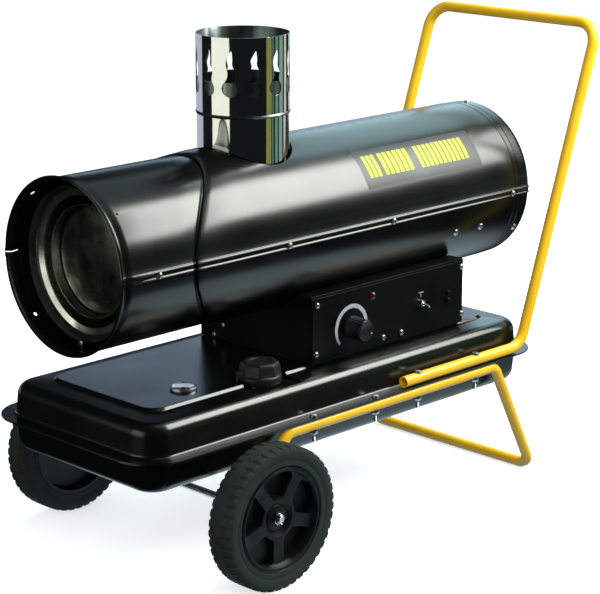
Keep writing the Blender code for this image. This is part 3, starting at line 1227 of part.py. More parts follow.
def build_motor():
    """Make the motor with its seat, the shaft, the pump coupling and the sheet bracket below."""
    centre = place(0, 0, TUBE_HEIGHT)
    front = MOTOR_FRONT
    rear = front + MOTOR_LENGTH
    profile = [(SHAFT_BORE, rear + MOTOR_BOSS_LENGTH), (MOTOR_BOSS, rear + MOTOR_BOSS_LENGTH), (MOTOR_BOSS, rear),
               (MOTOR_BELL_RADIUS, rear), (MOTOR_RADIUS, rear - MOTOR_BELL), (MOTOR_RADIUS, front + MOTOR_BELL),
               (MOTOR_BELL_RADIUS, front), (SHAFT_BORE, front)]
    turned("fan_motor", profile, centre, (1, 0, 0), "grey_paint", ROUND_SIDES, closed=True)
    shaft_front = front - COUPLING_SPACE - COUPLING_LENGTH
    cylinder("motor_shaft", place(shaft_front, 0, TUBE_HEIGHT), place(FAN_FRONT + FAN_HUB_LENGTH, 0, TUBE_HEIGHT),
             SHAFT_RADIUS, "zinc", SMALL_SIDES)
    turned("pump_coupling", [(SHAFT_BORE, 0), (COUPLING_RADIUS, 0), (COUPLING_RADIUS, COUPLING_LENGTH),
                             (SHAFT_BORE, COUPLING_LENGTH)],
           place(shaft_front, 0, TUBE_HEIGHT), (1, 0, 0), "cap_plastic", SMALL_SIDES, closed=True)

    wall = (MAIN_RADIUS - SHEET) * SHELL_FLAT - GAP
    top = BRACKET_TOP
    drop = TUBE_HEIGHT - top + BRACKET_SHEET
    half = math.sqrt(wall ** 2 - drop ** 2)
    base = top - BRACKET_SHEET
    side = [(half, base), (half, base + BRACKET_TAB), (half - BRACKET_SHEET, base + BRACKET_TAB),
            (half - BRACKET_SHEET, top)]
    outline = side + [(-y, z) for y, z in reversed(side)]
    bracket = plate("motor_bracket", [outline], BRACKET_REAR - BRACKET_FRONT, "zinc")
    bracket.matrix_world = Matrix.Translation(place((BRACKET_FRONT + BRACKET_REAR) / 2, 0, 0)) @ \
        Matrix.Rotation(math.pi / 2, 4, "Z") @ Matrix.Rotation(math.pi / 2, 4, "X")
    bracket = as_mesh(bracket)
    hose_x = PUMP_FRONT + PUMP_LENGTH / 2
    combine(bracket, cylinder("bracket_hose_hole", place(hose_x, PORT_BOSS_Y, top - 2 * OVERRUN),
                              place(hose_x, PORT_BOSS_Y, top + OVERRUN), HOSE_HOLE, sides=SMALL_SIDES))
    return bracket


def build_fan():
    """Make the axial fan, a hub with five twisted and cambered blades."""
    middle = FAN_FRONT + FAN_HUB_LENGTH / 2
    fan = turned("axial_fan", [(SHAFT_BORE, 0), (FAN_HUB_RADIUS, 0), (FAN_HUB_RADIUS, FAN_HUB_LENGTH),
                               (SHAFT_BORE, FAN_HUB_LENGTH)],
                 place(FAN_FRONT, 0, TUBE_HEIGHT), (1, 0, 0), "aluminium", ROUND_SIDES, closed=True)
    spans = (0, 1, 2)
    chords = (-1, 0, 1)
    for blade in range(FAN_BLADES):
        work = bmesh.new()
        grid = []
        for span in spans:
            share = span / spans[-1]
            radius = FAN_HUB_RADIUS - BLADE_SHEET + (FAN_RADIUS - FAN_HUB_RADIUS + BLADE_SHEET) * share
            chord = BLADE_ROOT_CHORD + (BLADE_TIP_CHORD - BLADE_ROOT_CHORD) * share
            pitch = BLADE_PITCH - BLADE_TWIST * share
            row = []
            for place_share in chords:
                along = place_share * chord / 2
                camber = BLADE_CAMBER * (1 - place_share ** 2)
                x = along * math.sin(pitch) + camber * math.cos(pitch)
                swing = (along * math.cos(pitch) - camber * math.sin(pitch)) / radius
                angle = math.tau * blade / FAN_BLADES + swing
                row.append(work.verts.new((x, radius * math.cos(angle), radius * math.sin(angle))))
            grid.append(row)
        for first, second in zip(grid, grid[1:]):
            for i in range(len(first) - 1):
                work.faces.new((first[i], first[i + 1], second[i + 1], second[i]))
        item = add_mesh("fan_blade_%d" % blade, work, None)
        item.location = place(middle, 0, TUBE_HEIGHT)
        sheet = item.modifiers.new("sheet", "SOLIDIFY")
        sheet.thickness = BLADE_SHEET
        sheet.offset = 0
        combine(fan, item, "UNION")
    return fan


def guard_openings(outer):
    """Return the outlines of the arc-shaped openings between the rings and bars of the guard."""
    pitch = (outer - GUARD_BAR - GUARD_HUB) / GUARD_BANDS
    sector = math.tau / GUARD_SPOKES
    outlines = []
    for band in range(GUARD_BANDS):
        low = GUARD_HUB + band * pitch
        high = low + pitch - GUARD_BAR
        for spoke in range(GUARD_SPOKES):
            outline = []
            for radius, order in ((low, 1), (high, -1)):
                trim = math.asin(GUARD_BAR / 2 / radius)
                start = spoke * sector + trim
                sweep = sector - 2 * trim
                arc = [start + sweep * step / GUARD_ARC_STEPS for step in range(GUARD_ARC_STEPS + 1)]
                outline += [(radius * math.cos(angle), radius * math.sin(angle)) for angle in arc[::order]]
            outlines.append(outline)
    return outlines


def build_guard():
    """Make the air inlet guard, rings and bars of one sheet, inside the rear edge of the tube."""
    outer = (MAIN_RADIUS - REAR_BAND_DEPTH - SHEET) * SHELL_FLAT - GAP
    rim = [(outer * math.cos(math.tau * step / ROUND_SIDES), outer * math.sin(math.tau * step / ROUND_SIDES))
           for step in range(ROUND_SIDES)]
    guard = plate("rear_guard", [rim] + guard_openings(outer * math.cos(math.pi / ROUND_SIDES)), GUARD_SHEET, "zinc")
    guard.location = place(TUBE_REAR - GUARD_FROM_REAR, 0, TUBE_HEIGHT)
    guard.rotation_euler = (math.pi / 2, 0, math.pi / 2)
    return as_mesh(guard)


def build_control_box():
    """Fold the control box: open under the tube and in front, with inward flanges."""
    low = PLATEAU_TOP + GAP
    box = block("control_box", place(BOX_FRONT, -BOX_HALF_WIDTH, low), place(BOX_REAR, BOX_HALF_WIDTH, BOX_TOP),
                "black_satin")
    inner = BOX_HALF_WIDTH - BOX_SHEET
    combine(box, block("box_cavity", place(BOX_FRONT + BOX_SHEET, -inner, low + BOX_SHEET),
                       place(BOX_REAR - BOX_SHEET, inner, BOX_TOP - BOX_SHEET)))
    combine(box, block("box_floor_opening", place(BOX_FRONT + BOX_FLANGE, -BOX_HALF_WIDTH + BOX_FLANGE, low - OVERRUN),
                       place(BOX_REAR - BOX_FLANGE, BOX_HALF_WIDTH - BOX_FLANGE, low + OVERRUN)))
    combine(box, block("box_front_opening", place(BOX_FRONT + BOX_FLANGE, -BOX_HALF_WIDTH - OVERRUN, low + BOX_FLANGE),
                       place(BOX_REAR - BOX_FLANGE, -inner + OVERRUN, BOX_TOP - BOX_FLANGE)))
    saddle = cylinder("tube_saddle", place(BOX_FRONT - OVERRUN, 0, TUBE_HEIGHT), place(BOX_REAR + OVERRUN, 0, TUBE_HEIGHT),
                      bore(MAIN_RADIUS, 2 * SHELL_ROWS), sides=2 * SHELL_ROWS)
    combine(box, saddle)
    start = place(BOX_REAR - BOX_SHEET - OVERRUN, GLAND_Y, GLAND_Z)
    combine(box, cylinder("gland_hole", start, start + Vector((BOX_SHEET + 2 * OVERRUN, 0, 0)), bore(GLAND_STEM, SMALL_SIDES),
                          sides=SMALL_SIDES))
    inside = BOX_SHEET + GAP
    turned("cable_gland", [(GLAND_BORE, GLAND_LENGTH), (GLAND_STEM, GLAND_LENGTH), (GLAND_RADIUS, GLAND_LENGTH / 2),
                           (GLAND_RADIUS, GAP), (GLAND_STEM, GAP), (GLAND_STEM, -inside - OVERRUN),
                           (GLAND_BORE, -inside - OVERRUN)],
           place(BOX_REAR, GLAND_Y, GLAND_Z), (1, 0, 0), "cap_plastic", SMALL_SIDES, closed=True)
    length, width = TRANSFORMER_LENGTH / 2, TRANSFORMER_WIDTH / 2
    base = PLATEAU_TOP + GAP
    transformer = block("ignition_transformer", place(TRANSFORMER_X - length, TRANSFORMER_Y - width, base),
                        place(TRANSFORMER_X + length, TRANSFORMER_Y + width, base + TRANSFORMER_HEIGHT), "grey_paint")
    edge = transformer.modifiers.new("edge", "BEVEL")
    edge.width = TRANSFORMER_EDGE
    edge.segments = 2
    return box


def build_panel():
    """Cut the control panel and drill it for the knob, the lamp and the switch."""
    panel = block("control_panel", place(PANEL_FRONT, -PANEL_FACE, PANEL_BOTTOM), place(PANEL_REAR, -PANEL_BACK, PANEL_TOP),
                  "black_satin")
    for name, x, z, radius in (("knob", KNOB_X, KNOB_Z, THERMOSTAT_BORE), ("lamp", LAMP_X, LAMP_Z, bore(LAMP_STEM, SMALL_SIDES)),
                               ("switch", SWITCH_X, SWITCH_Z, bore(SWITCH_BUSH, SMALL_SIDES))):
        combine(panel, cylinder(name + "_hole", place(x, -PANEL_FACE - OVERRUN, z), place(x, -PANEL_BACK + OVERRUN, z),
                                radius, sides=SMALL_SIDES))
    front = (0, -1, 0)
    back = GAP + PANEL_SHEET
    turned("thermostat", [(0, -THERMOSTAT_DEPTH), (THERMOSTAT_BORE, -THERMOSTAT_DEPTH), (THERMOSTAT_BORE, -back),
                          (THERMOSTAT_RADIUS, -back), (THERMOSTAT_RADIUS, -back - THERMOSTAT_DEPTH),
                          (0, -back - THERMOSTAT_DEPTH)],
           place(KNOB_X, -PANEL_FACE, KNOB_Z), front, "aluminium", ROUND_SIDES)
    build_knob()
    turned("indicator_lamp", [(0, LAMP_DOME), (LAMP_RADIUS / 2, LAMP_DOME * 4 / 5), (LAMP_RADIUS, LAMP_DOME / 3),
                              (LAMP_RADIUS, GAP), (LAMP_STEM, GAP), (LAMP_STEM, -LAMP_DEPTH), (0, -LAMP_DEPTH)],
           place(LAMP_X, -PANEL_FACE, LAMP_Z), front, "red", SMALL_SIDES)
    build_switch()
    build_board()
    return panel


def build_knob():
    """Make the long fluted thermostat knob with its spindle, on the knob's turning axis."""
    rings = []
    points = KNOB_FLUTES * 2
    levels = ((KNOB_RADIUS, KNOB_STAND_OFF, 1), (KNOB_RADIUS - KNOB_TAPER, KNOB_STAND_OFF + KNOB_LENGTH - KNOB_EDGE, 1),
              (KNOB_RADIUS - KNOB_TAPER - KNOB_EDGE, KNOB_STAND_OFF + KNOB_LENGTH, 0))
    for radius, height, fluted in levels:
        ring = []
        for i in range(points):
            angle = math.tau * i / points
            reach = radius - (KNOB_EDGE / 2 if fluted and i % 2 else 0)
            ring.append(Vector((reach * math.cos(angle), reach * math.sin(angle), height)))
        rings.append(ring)
    knob = loft("thermostat_knob", rings, Vector((0, 0, 0)), "rim_plastic")
    aim(knob, place(KNOB_X, -PANEL_FACE, KNOB_Z), (0, -1, 0))
    depth = THERMOSTAT_DEPTH - OVERRUN
    join(knob, [cylinder("knob_spindle", place(KNOB_X, -PANEL_FACE + depth, KNOB_Z),
                         place(KNOB_X, -PANEL_FACE - KNOB_STAND_OFF - OVERRUN, KNOB_Z), KNOB_SPINDLE, sides=SMALL_SIDES)])
    return knob


def build_switch():
    """Make the toggle switch: body with a threaded bush, and the lever on its pivot."""
    origin = place(SWITCH_X, -PANEL_FACE, SWITCH_Z)
    back = PANEL_SHEET + GAP
    half = SWITCH_BODY / 2
    body = cylinder("switch_body", origin + Vector((0, back + OVERRUN / 2, 0)), origin - Vector((0, SWITCH_BUSH_LENGTH, 0)),
                    SWITCH_BUSH, "zinc", SMALL_SIDES)
    join(body, [block("switch_case", origin + Vector((-half, back, -half)),
                      origin + Vector((half, back + SWITCH_BODY_DEPTH, half)))])
    combine(body, cylinder("switch_bore", origin + Vector((0, back + OVERRUN, 0)),
                           origin - Vector((0, SWITCH_BUSH_LENGTH + OVERRUN, 0)), SWITCH_BORE, sides=SMALL_SIDES))
    pivot = origin - Vector((0, SWITCH_BUSH_LENGTH / 2, 0))
    out = Vector((0, -math.cos(LEVER_REST_ANGLE), -math.sin(LEVER_REST_ANGLE)))
    turned("switch_lever", [(0, LEVER_LENGTH), (LEVER_TIP * 2 / 3, LEVER_LENGTH), (LEVER_TIP, LEVER_LENGTH - LEVER_TIP),
                            (LEVER_ROOT, LEVER_BALL), (LEVER_BALL, LEVER_BALL / 3), (LEVER_BALL, -LEVER_BALL / 3),
                            (LEVER_ROOT, -LEVER_BALL * 2 / 3), (0, -LEVER_BALL * 2 / 3)],
           pivot, out, "stainless", SMALL_SIDES)
    return body


def build_board():
    """Make the control board on its four posts behind the panel."""
    length, height = BOARD_LENGTH / 2, BOARD_HEIGHT / 2
    face = PANEL_BACK - GAP - BOARD_STAND_OFF
    board = block("control_board", place(BOARD_X - length + OVERRUN, -face, BOARD_Z - height),
                  place(BOARD_X + length + OVERRUN, -face + BOARD_SHEET, BOARD_Z + height), "board_green")
    posts = []
    for index, (side_x, side_z) in enumerate(((-1, -1), (1, -1), (1, 1), (-1, 1))):
        x = BOARD_X + OVERRUN + side_x * (length - BOARD_POST_INSET)
        z = BOARD_Z + side_z * (height - BOARD_POST_INSET)
        posts.append(cylinder("board_post_%d" % index, place(x, -face + BOARD_SHEET / 2, z),
                              place(x, -PANEL_BACK + GAP, z), BOARD_POST, sides=HOLE_SIDES))
    return join(board, posts)


def main():
    """Build every piece of the heater."""
    clear_scene()
    make_collection("indirect_fired_heater")
    make_collection("cutters")
    build_tank_upper()
    build_tank_lower()
    build_drain_plug()
    build_filler()
    build_gauge()
    build_leg_frame()
    build_handle()
    build_frame_bolts()
    build_axle()
    build_wheel("near", -1)
    build_wheel("far", 1)
    build_air_tube()
    build_heat_shield()
    build_drum()
    build_flue()
    build_cowl()
    build_burner()
    build_pump()
    build_motor()
    build_fan()
    build_guard()
    build_control_box()
    build_panel()


main()
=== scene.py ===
"""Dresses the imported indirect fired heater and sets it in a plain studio.

The frame gives every rigid piece its place. The classes below build the fine surfaces on it, one class
for each sub-assembly, and each finish describes the real material that it stands for.
Lengths are in metres, and a distance "from the axle" is counted along +X from the wheel axle.
"""
import json
import logging
import math
from dataclasses import dataclass, field
from enum import Enum
from typing import Callable, Iterable, Sequence

import bmesh
import bpy
from mathutils import Matrix, Vector


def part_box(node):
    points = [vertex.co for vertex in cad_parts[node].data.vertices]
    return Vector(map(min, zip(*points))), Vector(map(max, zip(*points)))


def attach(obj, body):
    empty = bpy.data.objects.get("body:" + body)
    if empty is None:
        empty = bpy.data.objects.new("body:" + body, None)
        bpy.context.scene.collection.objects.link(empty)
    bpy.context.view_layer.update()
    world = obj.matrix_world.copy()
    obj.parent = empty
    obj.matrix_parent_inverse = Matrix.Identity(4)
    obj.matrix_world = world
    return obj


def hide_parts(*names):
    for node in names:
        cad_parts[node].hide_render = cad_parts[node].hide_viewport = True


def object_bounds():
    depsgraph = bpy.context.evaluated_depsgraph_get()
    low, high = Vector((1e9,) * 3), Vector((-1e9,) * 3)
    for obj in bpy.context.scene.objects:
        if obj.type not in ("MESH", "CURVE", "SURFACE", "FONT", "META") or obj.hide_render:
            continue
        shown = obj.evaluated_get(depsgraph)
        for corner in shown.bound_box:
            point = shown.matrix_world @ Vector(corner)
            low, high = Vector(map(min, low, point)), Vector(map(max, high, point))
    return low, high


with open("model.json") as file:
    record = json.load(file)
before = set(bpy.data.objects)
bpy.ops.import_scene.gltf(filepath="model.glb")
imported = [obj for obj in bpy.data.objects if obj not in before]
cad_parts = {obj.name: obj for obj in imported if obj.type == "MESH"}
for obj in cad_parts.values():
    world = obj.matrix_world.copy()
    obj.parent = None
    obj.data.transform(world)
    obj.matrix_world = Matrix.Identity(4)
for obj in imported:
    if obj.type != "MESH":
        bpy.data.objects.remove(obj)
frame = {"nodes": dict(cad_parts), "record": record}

LOG = logging.getLogger("heater")
CAD_BOX = [list(corner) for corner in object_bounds()]
AXLE_X = sum(corner.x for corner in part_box("axle")) / 2
MM = 0.001

Pair = tuple[float, float]
Triple = tuple[float, float, float]
Station = tuple[float, float, int]
Piece = bpy.types.Object
Tree = bpy.types.NodeTree
Socket = bpy.types.NodeSocket

AHEAD = Vector((1, 0, 0)).freeze()
ACROSS = Vector((0, 1, 0)).freeze()
UP = Vector((0, 0, 1)).freeze()
HOME = Vector((0, 0, 0)).freeze()

# Sizes that several sub-assemblies share; the wheels' radius is also the height of the axle
WHEEL_RADIUS = 0.1145
FLANGE_TOP = 0.228
TUBE_HEIGHT = 0.498
FLUE_X = 0.1754
HOSE_PLACE: Pair = (0.459, 0.020)
# Thickness of a layer of ink or film, drawn thicker than the real one so that it shows
PRINT = 0.0001
# A ring narrower than this is a pole
POLE = 1e-7
# Edges sharper than this, in degrees, stay sharp; turned pieces have facets that need a little more
EDGE_ANGLE = 35.0
TURNED_ANGLE = 40.0


class Body(str, Enum):
    """The rigid bodies of the frame."""

    HEATER = "heater"
    WHEEL_NEAR = "wheel_near"
    WHEEL_FAR = "wheel_far"
    ROTOR = "rotor"
    KNOB = "knob"
    LEVER = "lever"
    CAP = "cap"
    FLOAT = "float"
    POINTER = "pointer"


# Colour and nodes


def linear(code: str) -> tuple[float, float, float, float]:
    """Turn an sRGB hex code into linear light.

    Args:
        code: six hex digits, with or without a leading hash.

    Returns:
        Linear red, green, blue and an alpha of one.
    """
    code = code.lstrip("#")
    values = [int(code[place:place + 2], 16) / 255 for place in (0, 2, 4)]
    red, green, blue = [v / 12.92 if v <= 0.04045 else ((v + 0.055) / 1.055) ** 2.4 for v in values]
    return red, green, blue, 1.0


def add_node(tree: Tree, kind: str, sockets: dict | None = None, **settings: object) -> bpy.types.Node:
    """Add one node, set its properties, and fill or link its sockets.

    Args:
        tree: the tree that gets the node.
        kind: the node's type name.
        sockets: values or output sockets by input name or number.
        **settings: the node's own properties.

    Returns:
        The new node.
    """
    node = tree.nodes.new(kind)
    for key, value in settings.items():
        setattr(node, key, value)
    for key, value in (sockets or {}).items():
        if isinstance(value, Socket):
            tree.links.new(value, node.inputs[key])
        else:
            node.inputs[key].default_value = value
    return node


@dataclass(frozen=True)
class Finish:
    """A surface of one real material, with a faint drift of tone and gloss and a fine relief.

    Sizes are in millimetres, and each is the real size of the pattern that it drives.
    """

    name: str
    tone: str
    roughness: float
    metallic: float = 0.0
    shade: str = ""
    drift_mm: float = 60.0
    gloss_drift: float = 0.04
    relief_mm: float = 0.0
    grain_mm: float = 1.0
    coat: float = 0.0
    coat_roughness: float = 0.1
    specular: float = 0.5
    transmission: float = 0.0
    ior: float = 1.5
    stretch: Triple = (1.0, 1.0, 1.0)
    drift_edge: Pair = (0.3, 0.7)

    def material(self) -> bpy.types.Material:
        """Make this finish as a material, once.

        Returns:
            The material, new or as it was made before.
        """
        if self.name in bpy.data.materials:
            return bpy.data.materials[self.name]
        made = bpy.data.materials.new(self.name)
        made.use_nodes = True
        tree = made.node_tree
        tree.nodes.clear()
        place = add_node(tree, "ShaderNodeTexCoord").outputs["Object"]
        place = add_node(tree, "ShaderNodeMapping", {"Vector": place, "Scale": self.stretch}).outputs["Vector"]
        sockets: dict = {"Metallic": self.metallic, "Coat Weight": self.coat, "Coat Roughness": self.coat_roughness,
                         "Specular IOR Level": self.specular, "Transmission Weight": self.transmission}
        if not self.metallic:
            sockets["IOR"] = self.ior
        drift = self.drift(tree, place)
        sockets["Roughness"] = self.gloss(tree, drift)
        sockets["Base Color"] = self.colour(tree, place, drift)
        if self.relief_mm:
            sockets["Normal"] = self.relief(tree, place)
        shader = add_node(tree, "ShaderNodeBsdfPrincipled", sockets)
        add_node(tree, "ShaderNodeOutputMaterial", {"Surface": shader.outputs["BSDF"]})
        return made

    def drift(self, tree: Tree, place: Socket) -> Socket:
        """Make the slow noise that tone and gloss follow.

        Args:
            tree: the finish's node tree.
            place: the coordinates of the point.

        Returns:
            A value from 0 to 1.
        """
        noise = add_node(tree, "ShaderNodeTexNoise", {"Vector": place, "Scale": 1000 / self.drift_mm, "Detail": 4.0})
        span = {"Value": noise.outputs["Fac"], "From Min": self.drift_edge[0], "From Max": self.drift_edge[1]}
        return add_node(tree, "ShaderNodeMapRange", span).outputs["Result"]

    def gloss(self, tree: Tree, drift: Socket) -> Socket:
        """Return the roughness, a little uneven as on any handled surface."""
        span = {"Value": drift, "To Min": max(self.roughness - self.gloss_drift, 0.01),
                "To Max": self.roughness + self.gloss_drift}
        return add_node(tree, "ShaderNodeMapRange", span).outputs["Result"]

    def colour(self, tree: Tree, place: Socket, drift: Socket) -> Socket:
        """Return the colour, between the main tone and the darker or worn one."""
        mix = {0: drift, 6: linear(self.tone), 7: linear(self.shade or self.tone)}
        return add_node(tree, "ShaderNodeMix", mix, data_type="RGBA").outputs[2]

    def relief(self, tree: Tree, place: Socket) -> Socket:
        """Make the fine grain that the light catches.

        Args:
            tree: the finish's node tree.
            place: the coordinates of the point.

        Returns:
            The direction of the surface.
        """
        noise = add_node(tree, "ShaderNodeTexNoise", {"Vector": place, "Scale": 1000 / self.grain_mm, "Detail": 3.0})
        bump = {"Height": noise.outputs["Fac"], "Distance": self.relief_mm * MM, "Strength": 1.0}
        return add_node(tree, "ShaderNodeBump", bump).outputs["Normal"]


@dataclass(frozen=True)
class BlotchedSteel(Finish):
    """Stainless sheet with darker islands where heat and handling have marked it."""

    mark: str = "#3A3833"
    mark_mm: float = 18.0
    mark_share: float = 0.35
    mark_edge: Pair = (0.5, 0.72)

    def colour(self, tree: Tree, place: Socket, drift: Socket) -> Socket:
        """Lay soft dark islands over the steel's tone.

        Args:
            tree: the finish's node tree.
            place: the coordinates of the point.
            drift: the slow noise.

        Returns:
            The colour.
        """
        base = super().colour(tree, place, drift)
        noise = add_node(tree, "ShaderNodeTexNoise", {"Vector": place, "Scale": 1000 / self.mark_mm, "Detail": 6.0,
                                                      "Roughness": 0.65})
        span = {"Value": noise.outputs["Fac"], "From Min": self.mark_edge[0], "From Max": self.mark_edge[1],
                "To Max": self.mark_share}
        island = add_node(tree, "ShaderNodeMapRange", span).outputs["Result"]
        mix = {0: island, 6: base, 7: linear(self.mark)}
        return add_node(tree, "ShaderNodeMix", mix, data_type="RGBA").outputs[2]


# Stove enamel on steel sheet: deep black with a wet, slightly wavy gloss
ENAMEL = Finish("black_stove_enamel", "#050706", 0.24, shade="#080A09", drift_mm=120, gloss_drift=0.03,
                relief_mm=0.03, grain_mm=2.5, specular=0.7)
# Fine-textured powder coat: a softer black with a broad sheen
POWDER_BLACK = Finish("black_powder_coat", "#040605", 0.34, shade="#070908", drift_mm=90, gloss_drift=0.04,
                      relief_mm=0.05, grain_mm=0.9, specular=0.28)
# Smooth powder coat: an even warm yellow with a soft shine
POWDER_YELLOW = Finish("yellow_powder_coat", "#F7C220", 0.24, shade="#EFB618", drift_mm=45, gloss_drift=0.04,
                       relief_mm=0.03, grain_mm=2.0)
# Bright annealed stainless: a mirror with the faint waves of rolled sheet
MIRROR_STEEL = Finish("bright_annealed_stainless", "#D9D7D2", 0.06, metallic=1.0, shade="#CFCDC8", drift_mm=70,
                      gloss_drift=0.02, relief_mm=0.05, grain_mm=28.0)
# Unpolished inner side of the stainless sheet: satin, with the streaks of the rolling
SHEET_BACK = Finish("satin_stainless", "#A0A7A5", 0.34, metallic=1.0, shade="#56605D", drift_mm=9, gloss_drift=0.05,
                    relief_mm=0.03, grain_mm=5.0, stretch=(1.0, 1.0, 0.05))
# Stainless inside the outlet: scuffed, with tarnished islands
HOT_STEEL = BlotchedSteel("heat_dulled_stainless", "#D2D1CA", 0.22, metallic=1.0, shade="#B2B1A9", drift_mm=35,
                          gloss_drift=0.09, relief_mm=0.06, grain_mm=6.0)
# Zinc plate on small steel parts: bright with a cool cast
ZINC = Finish("bright_zinc_plate", "#D6DADD", 0.27, metallic=1.0, shade="#BBC0C5", drift_mm=8, gloss_drift=0.06,
              relief_mm=0.01, grain_mm=0.8)
# Nickel plate: nearly a mirror, on the hub nuts and the switch lever
NICKEL = Finish("nickel_plate", "#E2E2E0", 0.10, metallic=1.0, shade="#D5D5D3", drift_mm=10, gloss_drift=0.03)
# Solid rubber tyre: dusty dark green-grey, almost without shine
TYRE = Finish("solid_rubber", "#212926", 0.78, shade="#2B322E", drift_mm=14, gloss_drift=0.08, relief_mm=0.12,
              grain_mm=1.2, specular=0.35)
# Smooth rubber hose: black, with a dull shine
HOSE = Finish("smooth_rubber", "#1A1A1A", 0.55, shade="#222222", drift_mm=20, relief_mm=0.03, grain_mm=0.8)
# Moulded polypropylene: the grain of a spark-eroded mould
RIM = Finish("moulded_polypropylene", "#080A0A", 0.42, shade="#0D1010", drift_mm=30, relief_mm=0.05, grain_mm=0.7,
             specular=0.20)
# Moulded nylon with glass fibre: a dull, slightly cloudy dark grey
NYLON = Finish("moulded_nylon", "#101312", 0.45, shade="#181C1A", drift_mm=12, gloss_drift=0.07, relief_mm=0.08,
               grain_mm=0.9)
# Phenolic knob: smooth and black
PHENOLIC = Finish("moulded_phenolic", "#101011", 0.33, shade="#18181A", drift_mm=12, relief_mm=0.02, grain_mm=0.8)
# Cast aluminium: silver grey, softly grained
ALUMINIUM = Finish("cast_aluminium", "#B9BCBE", 0.38, metallic=1.0, shade="#A5A8AB", drift_mm=10, gloss_drift=0.06,
                   relief_mm=0.05, grain_mm=0.9)
# Machine enamel on the motor and the transformer
MACHINE_GREY = Finish("grey_machine_enamel", "#5B5E61", 0.42, shade="#53565A", drift_mm=25, relief_mm=0.05,
                      grain_mm=1.2)
# Turned brass with a light tarnish
BRASS = Finish("turned_brass", "#C9A15A", 0.28, metallic=1.0, shade="#A8834A", drift_mm=9, gloss_drift=0.06)
# Clear cast acrylic of the window: polished, almost unseen
ACRYLIC = Finish("clear_acrylic", "#F2F6F6", 0.04, transmission=1.0, ior=1.49, gloss_drift=0.01)
# Tinted acrylic of the lamp: deep red, lit only by the room
RED_LENS = Finish("red_acrylic", "#42090F", 0.12, shade="#34060B", drift_mm=5, coat=0.5, coat_roughness=0.03)
# Moulded polystyrene of the pointer: an even bright red
RED_POINTER = Finish("red_polystyrene", "#B01218", 0.35, shade="#A00F15", drift_mm=5)
# Glazed steatite round the electrodes: cream white under a thin glaze
CERAMIC = Finish("glazed_steatite", "#E6E0D4", 0.18, shade="#D8D0C2", drift_mm=10, coat=0.4)
# Lacquered glass fibre board: an even dark green
BOARD = Finish("lacquered_glass_fibre", "#1E5A34", 0.35, shade="#174A2A", drift_mm=6)
# Closed-cell float foam: dull tan, with the pores of the foam
FOAM = Finish("closed_cell_foam", "#B59C63", 0.8, shade="#9C8450", drift_mm=4, relief_mm=0.2, grain_mm=1.5)
# Screen print: flat light grey ink of the dial and the marks
INK_GREY = Finish("screen_ink_grey", "#A9ACB0", 0.5, shade="#9EA1A5", drift_mm=6)
# Vinyl film: a smooth dark grey ground
FILM = Finish("vinyl_film", "#2C2E32", 0.32, shade="#25272B", drift_mm=80, relief_mm=0.02, grain_mm=4.0, specular=0.4)
# Stainless end of the drum, browned and blotched by heat
DRUM_END = BlotchedSteel("heat_browned_stainless", "#77776E", 0.26, metallic=1.0, shade="#54554E", drift_mm=30,
                         gloss_drift=0.10, relief_mm=0.06, grain_mm=5.0, mark="#24221F", mark_mm=26.0, mark_share=0.75)
# Screen ink of the bars on the film: a greenish yellow, almost without shine
INK_YELLOW = Finish("screen_ink_yellow", "#BEC61A", 0.45, shade="#AEB614", drift_mm=25, specular=0.3)
# Screen ink of the gauge's dial: an even light grey-white
INK_WHITE = Finish("screen_ink_white", "#BFC3C4", 0.5, shade="#B1B5B7", drift_mm=6)

CAD_FINISHES: dict[str, Finish] = {
    "gloss_black": ENAMEL, "satin_black": POWDER_BLACK, "yellow_paint": POWDER_YELLOW, "stainless": MIRROR_STEEL,
    "hot_stainless": HOT_STEEL, "bright_steel": NICKEL, "zinc": ZINC, "tyre": TYRE, "rubber": HOSE,
    "rim_plastic": RIM, "cap_plastic": NYLON, "aluminium": ALUMINIUM, "grey_paint": MACHINE_GREY, "brass": BRASS,
    "clear_lens": ACRYLIC, "red_plastic": RED_POINTER, "ceramic": CERAMIC, "board_green": BOARD,
    "float_foam": FOAM,
}


# Meshes


def at(x: float, y: float, z: float) -> Vector:
    """Return the world point for an X counted from the axle."""
    return Vector((AXLE_X + x, y, z))


def linked(name: str, data: bpy.types.ID) -> Piece:
    """Put some data into the scene.

    Args:
        name: the new object's name.
        data: its mesh, camera or light.

    Returns:
        The object, at the origin.
    """
    made = bpy.data.objects.new(name, data)
    bpy.context.scene.collection.objects.link(made)
    return made


def make_object(name: str, work: bmesh.types.BMesh, outward: bool = True) -> Piece:
    """Turn a bmesh into a linked object.

    Args:
        name: the piece's name.
        work: the bmesh, which is freed.
        outward: turns the faces outward first.

    Returns:
        The object, at the origin.
    """
    if outward:
        bmesh.ops.recalc_face_normals(work, faces=work.faces)
    mesh = bpy.data.meshes.new(name)
    work.to_mesh(mesh)
    work.free()
    return linked(name, mesh)


def applied(piece: Piece) -> Piece:
    """Turn a piece's modifiers and placing into plain mesh points at the origin.

    Args:
        piece: any mesh or curve object.

    Returns:
        A mesh object with the same name.
    """
    bpy.context.view_layer.update()
    graph = bpy.context.evaluated_depsgraph_get()
    mesh = bpy.data.meshes.new_from_object(piece.evaluated_get(graph))
    mesh.transform(piece.matrix_world)
    name = piece.name
    bpy.data.objects.remove(piece, do_unlink=True)
    mesh.name = name
    return linked(name, mesh)


def cut_by(piece: Piece, cutter: Piece) -> Piece:
    """Cut a piece with another, which is used up.

    Args:
        piece: the piece that stays.
        cutter: a closed solid.

    Returns:
        The cut piece.
    """
    step = piece.modifiers.new("cut", "BOOLEAN")
    step.operation = "DIFFERENCE"
    step.solver = "EXACT"
    step.object = cutter
    made = applied(piece)
    bpy.data.objects.remove(cutter, do_unlink=True)
    return made


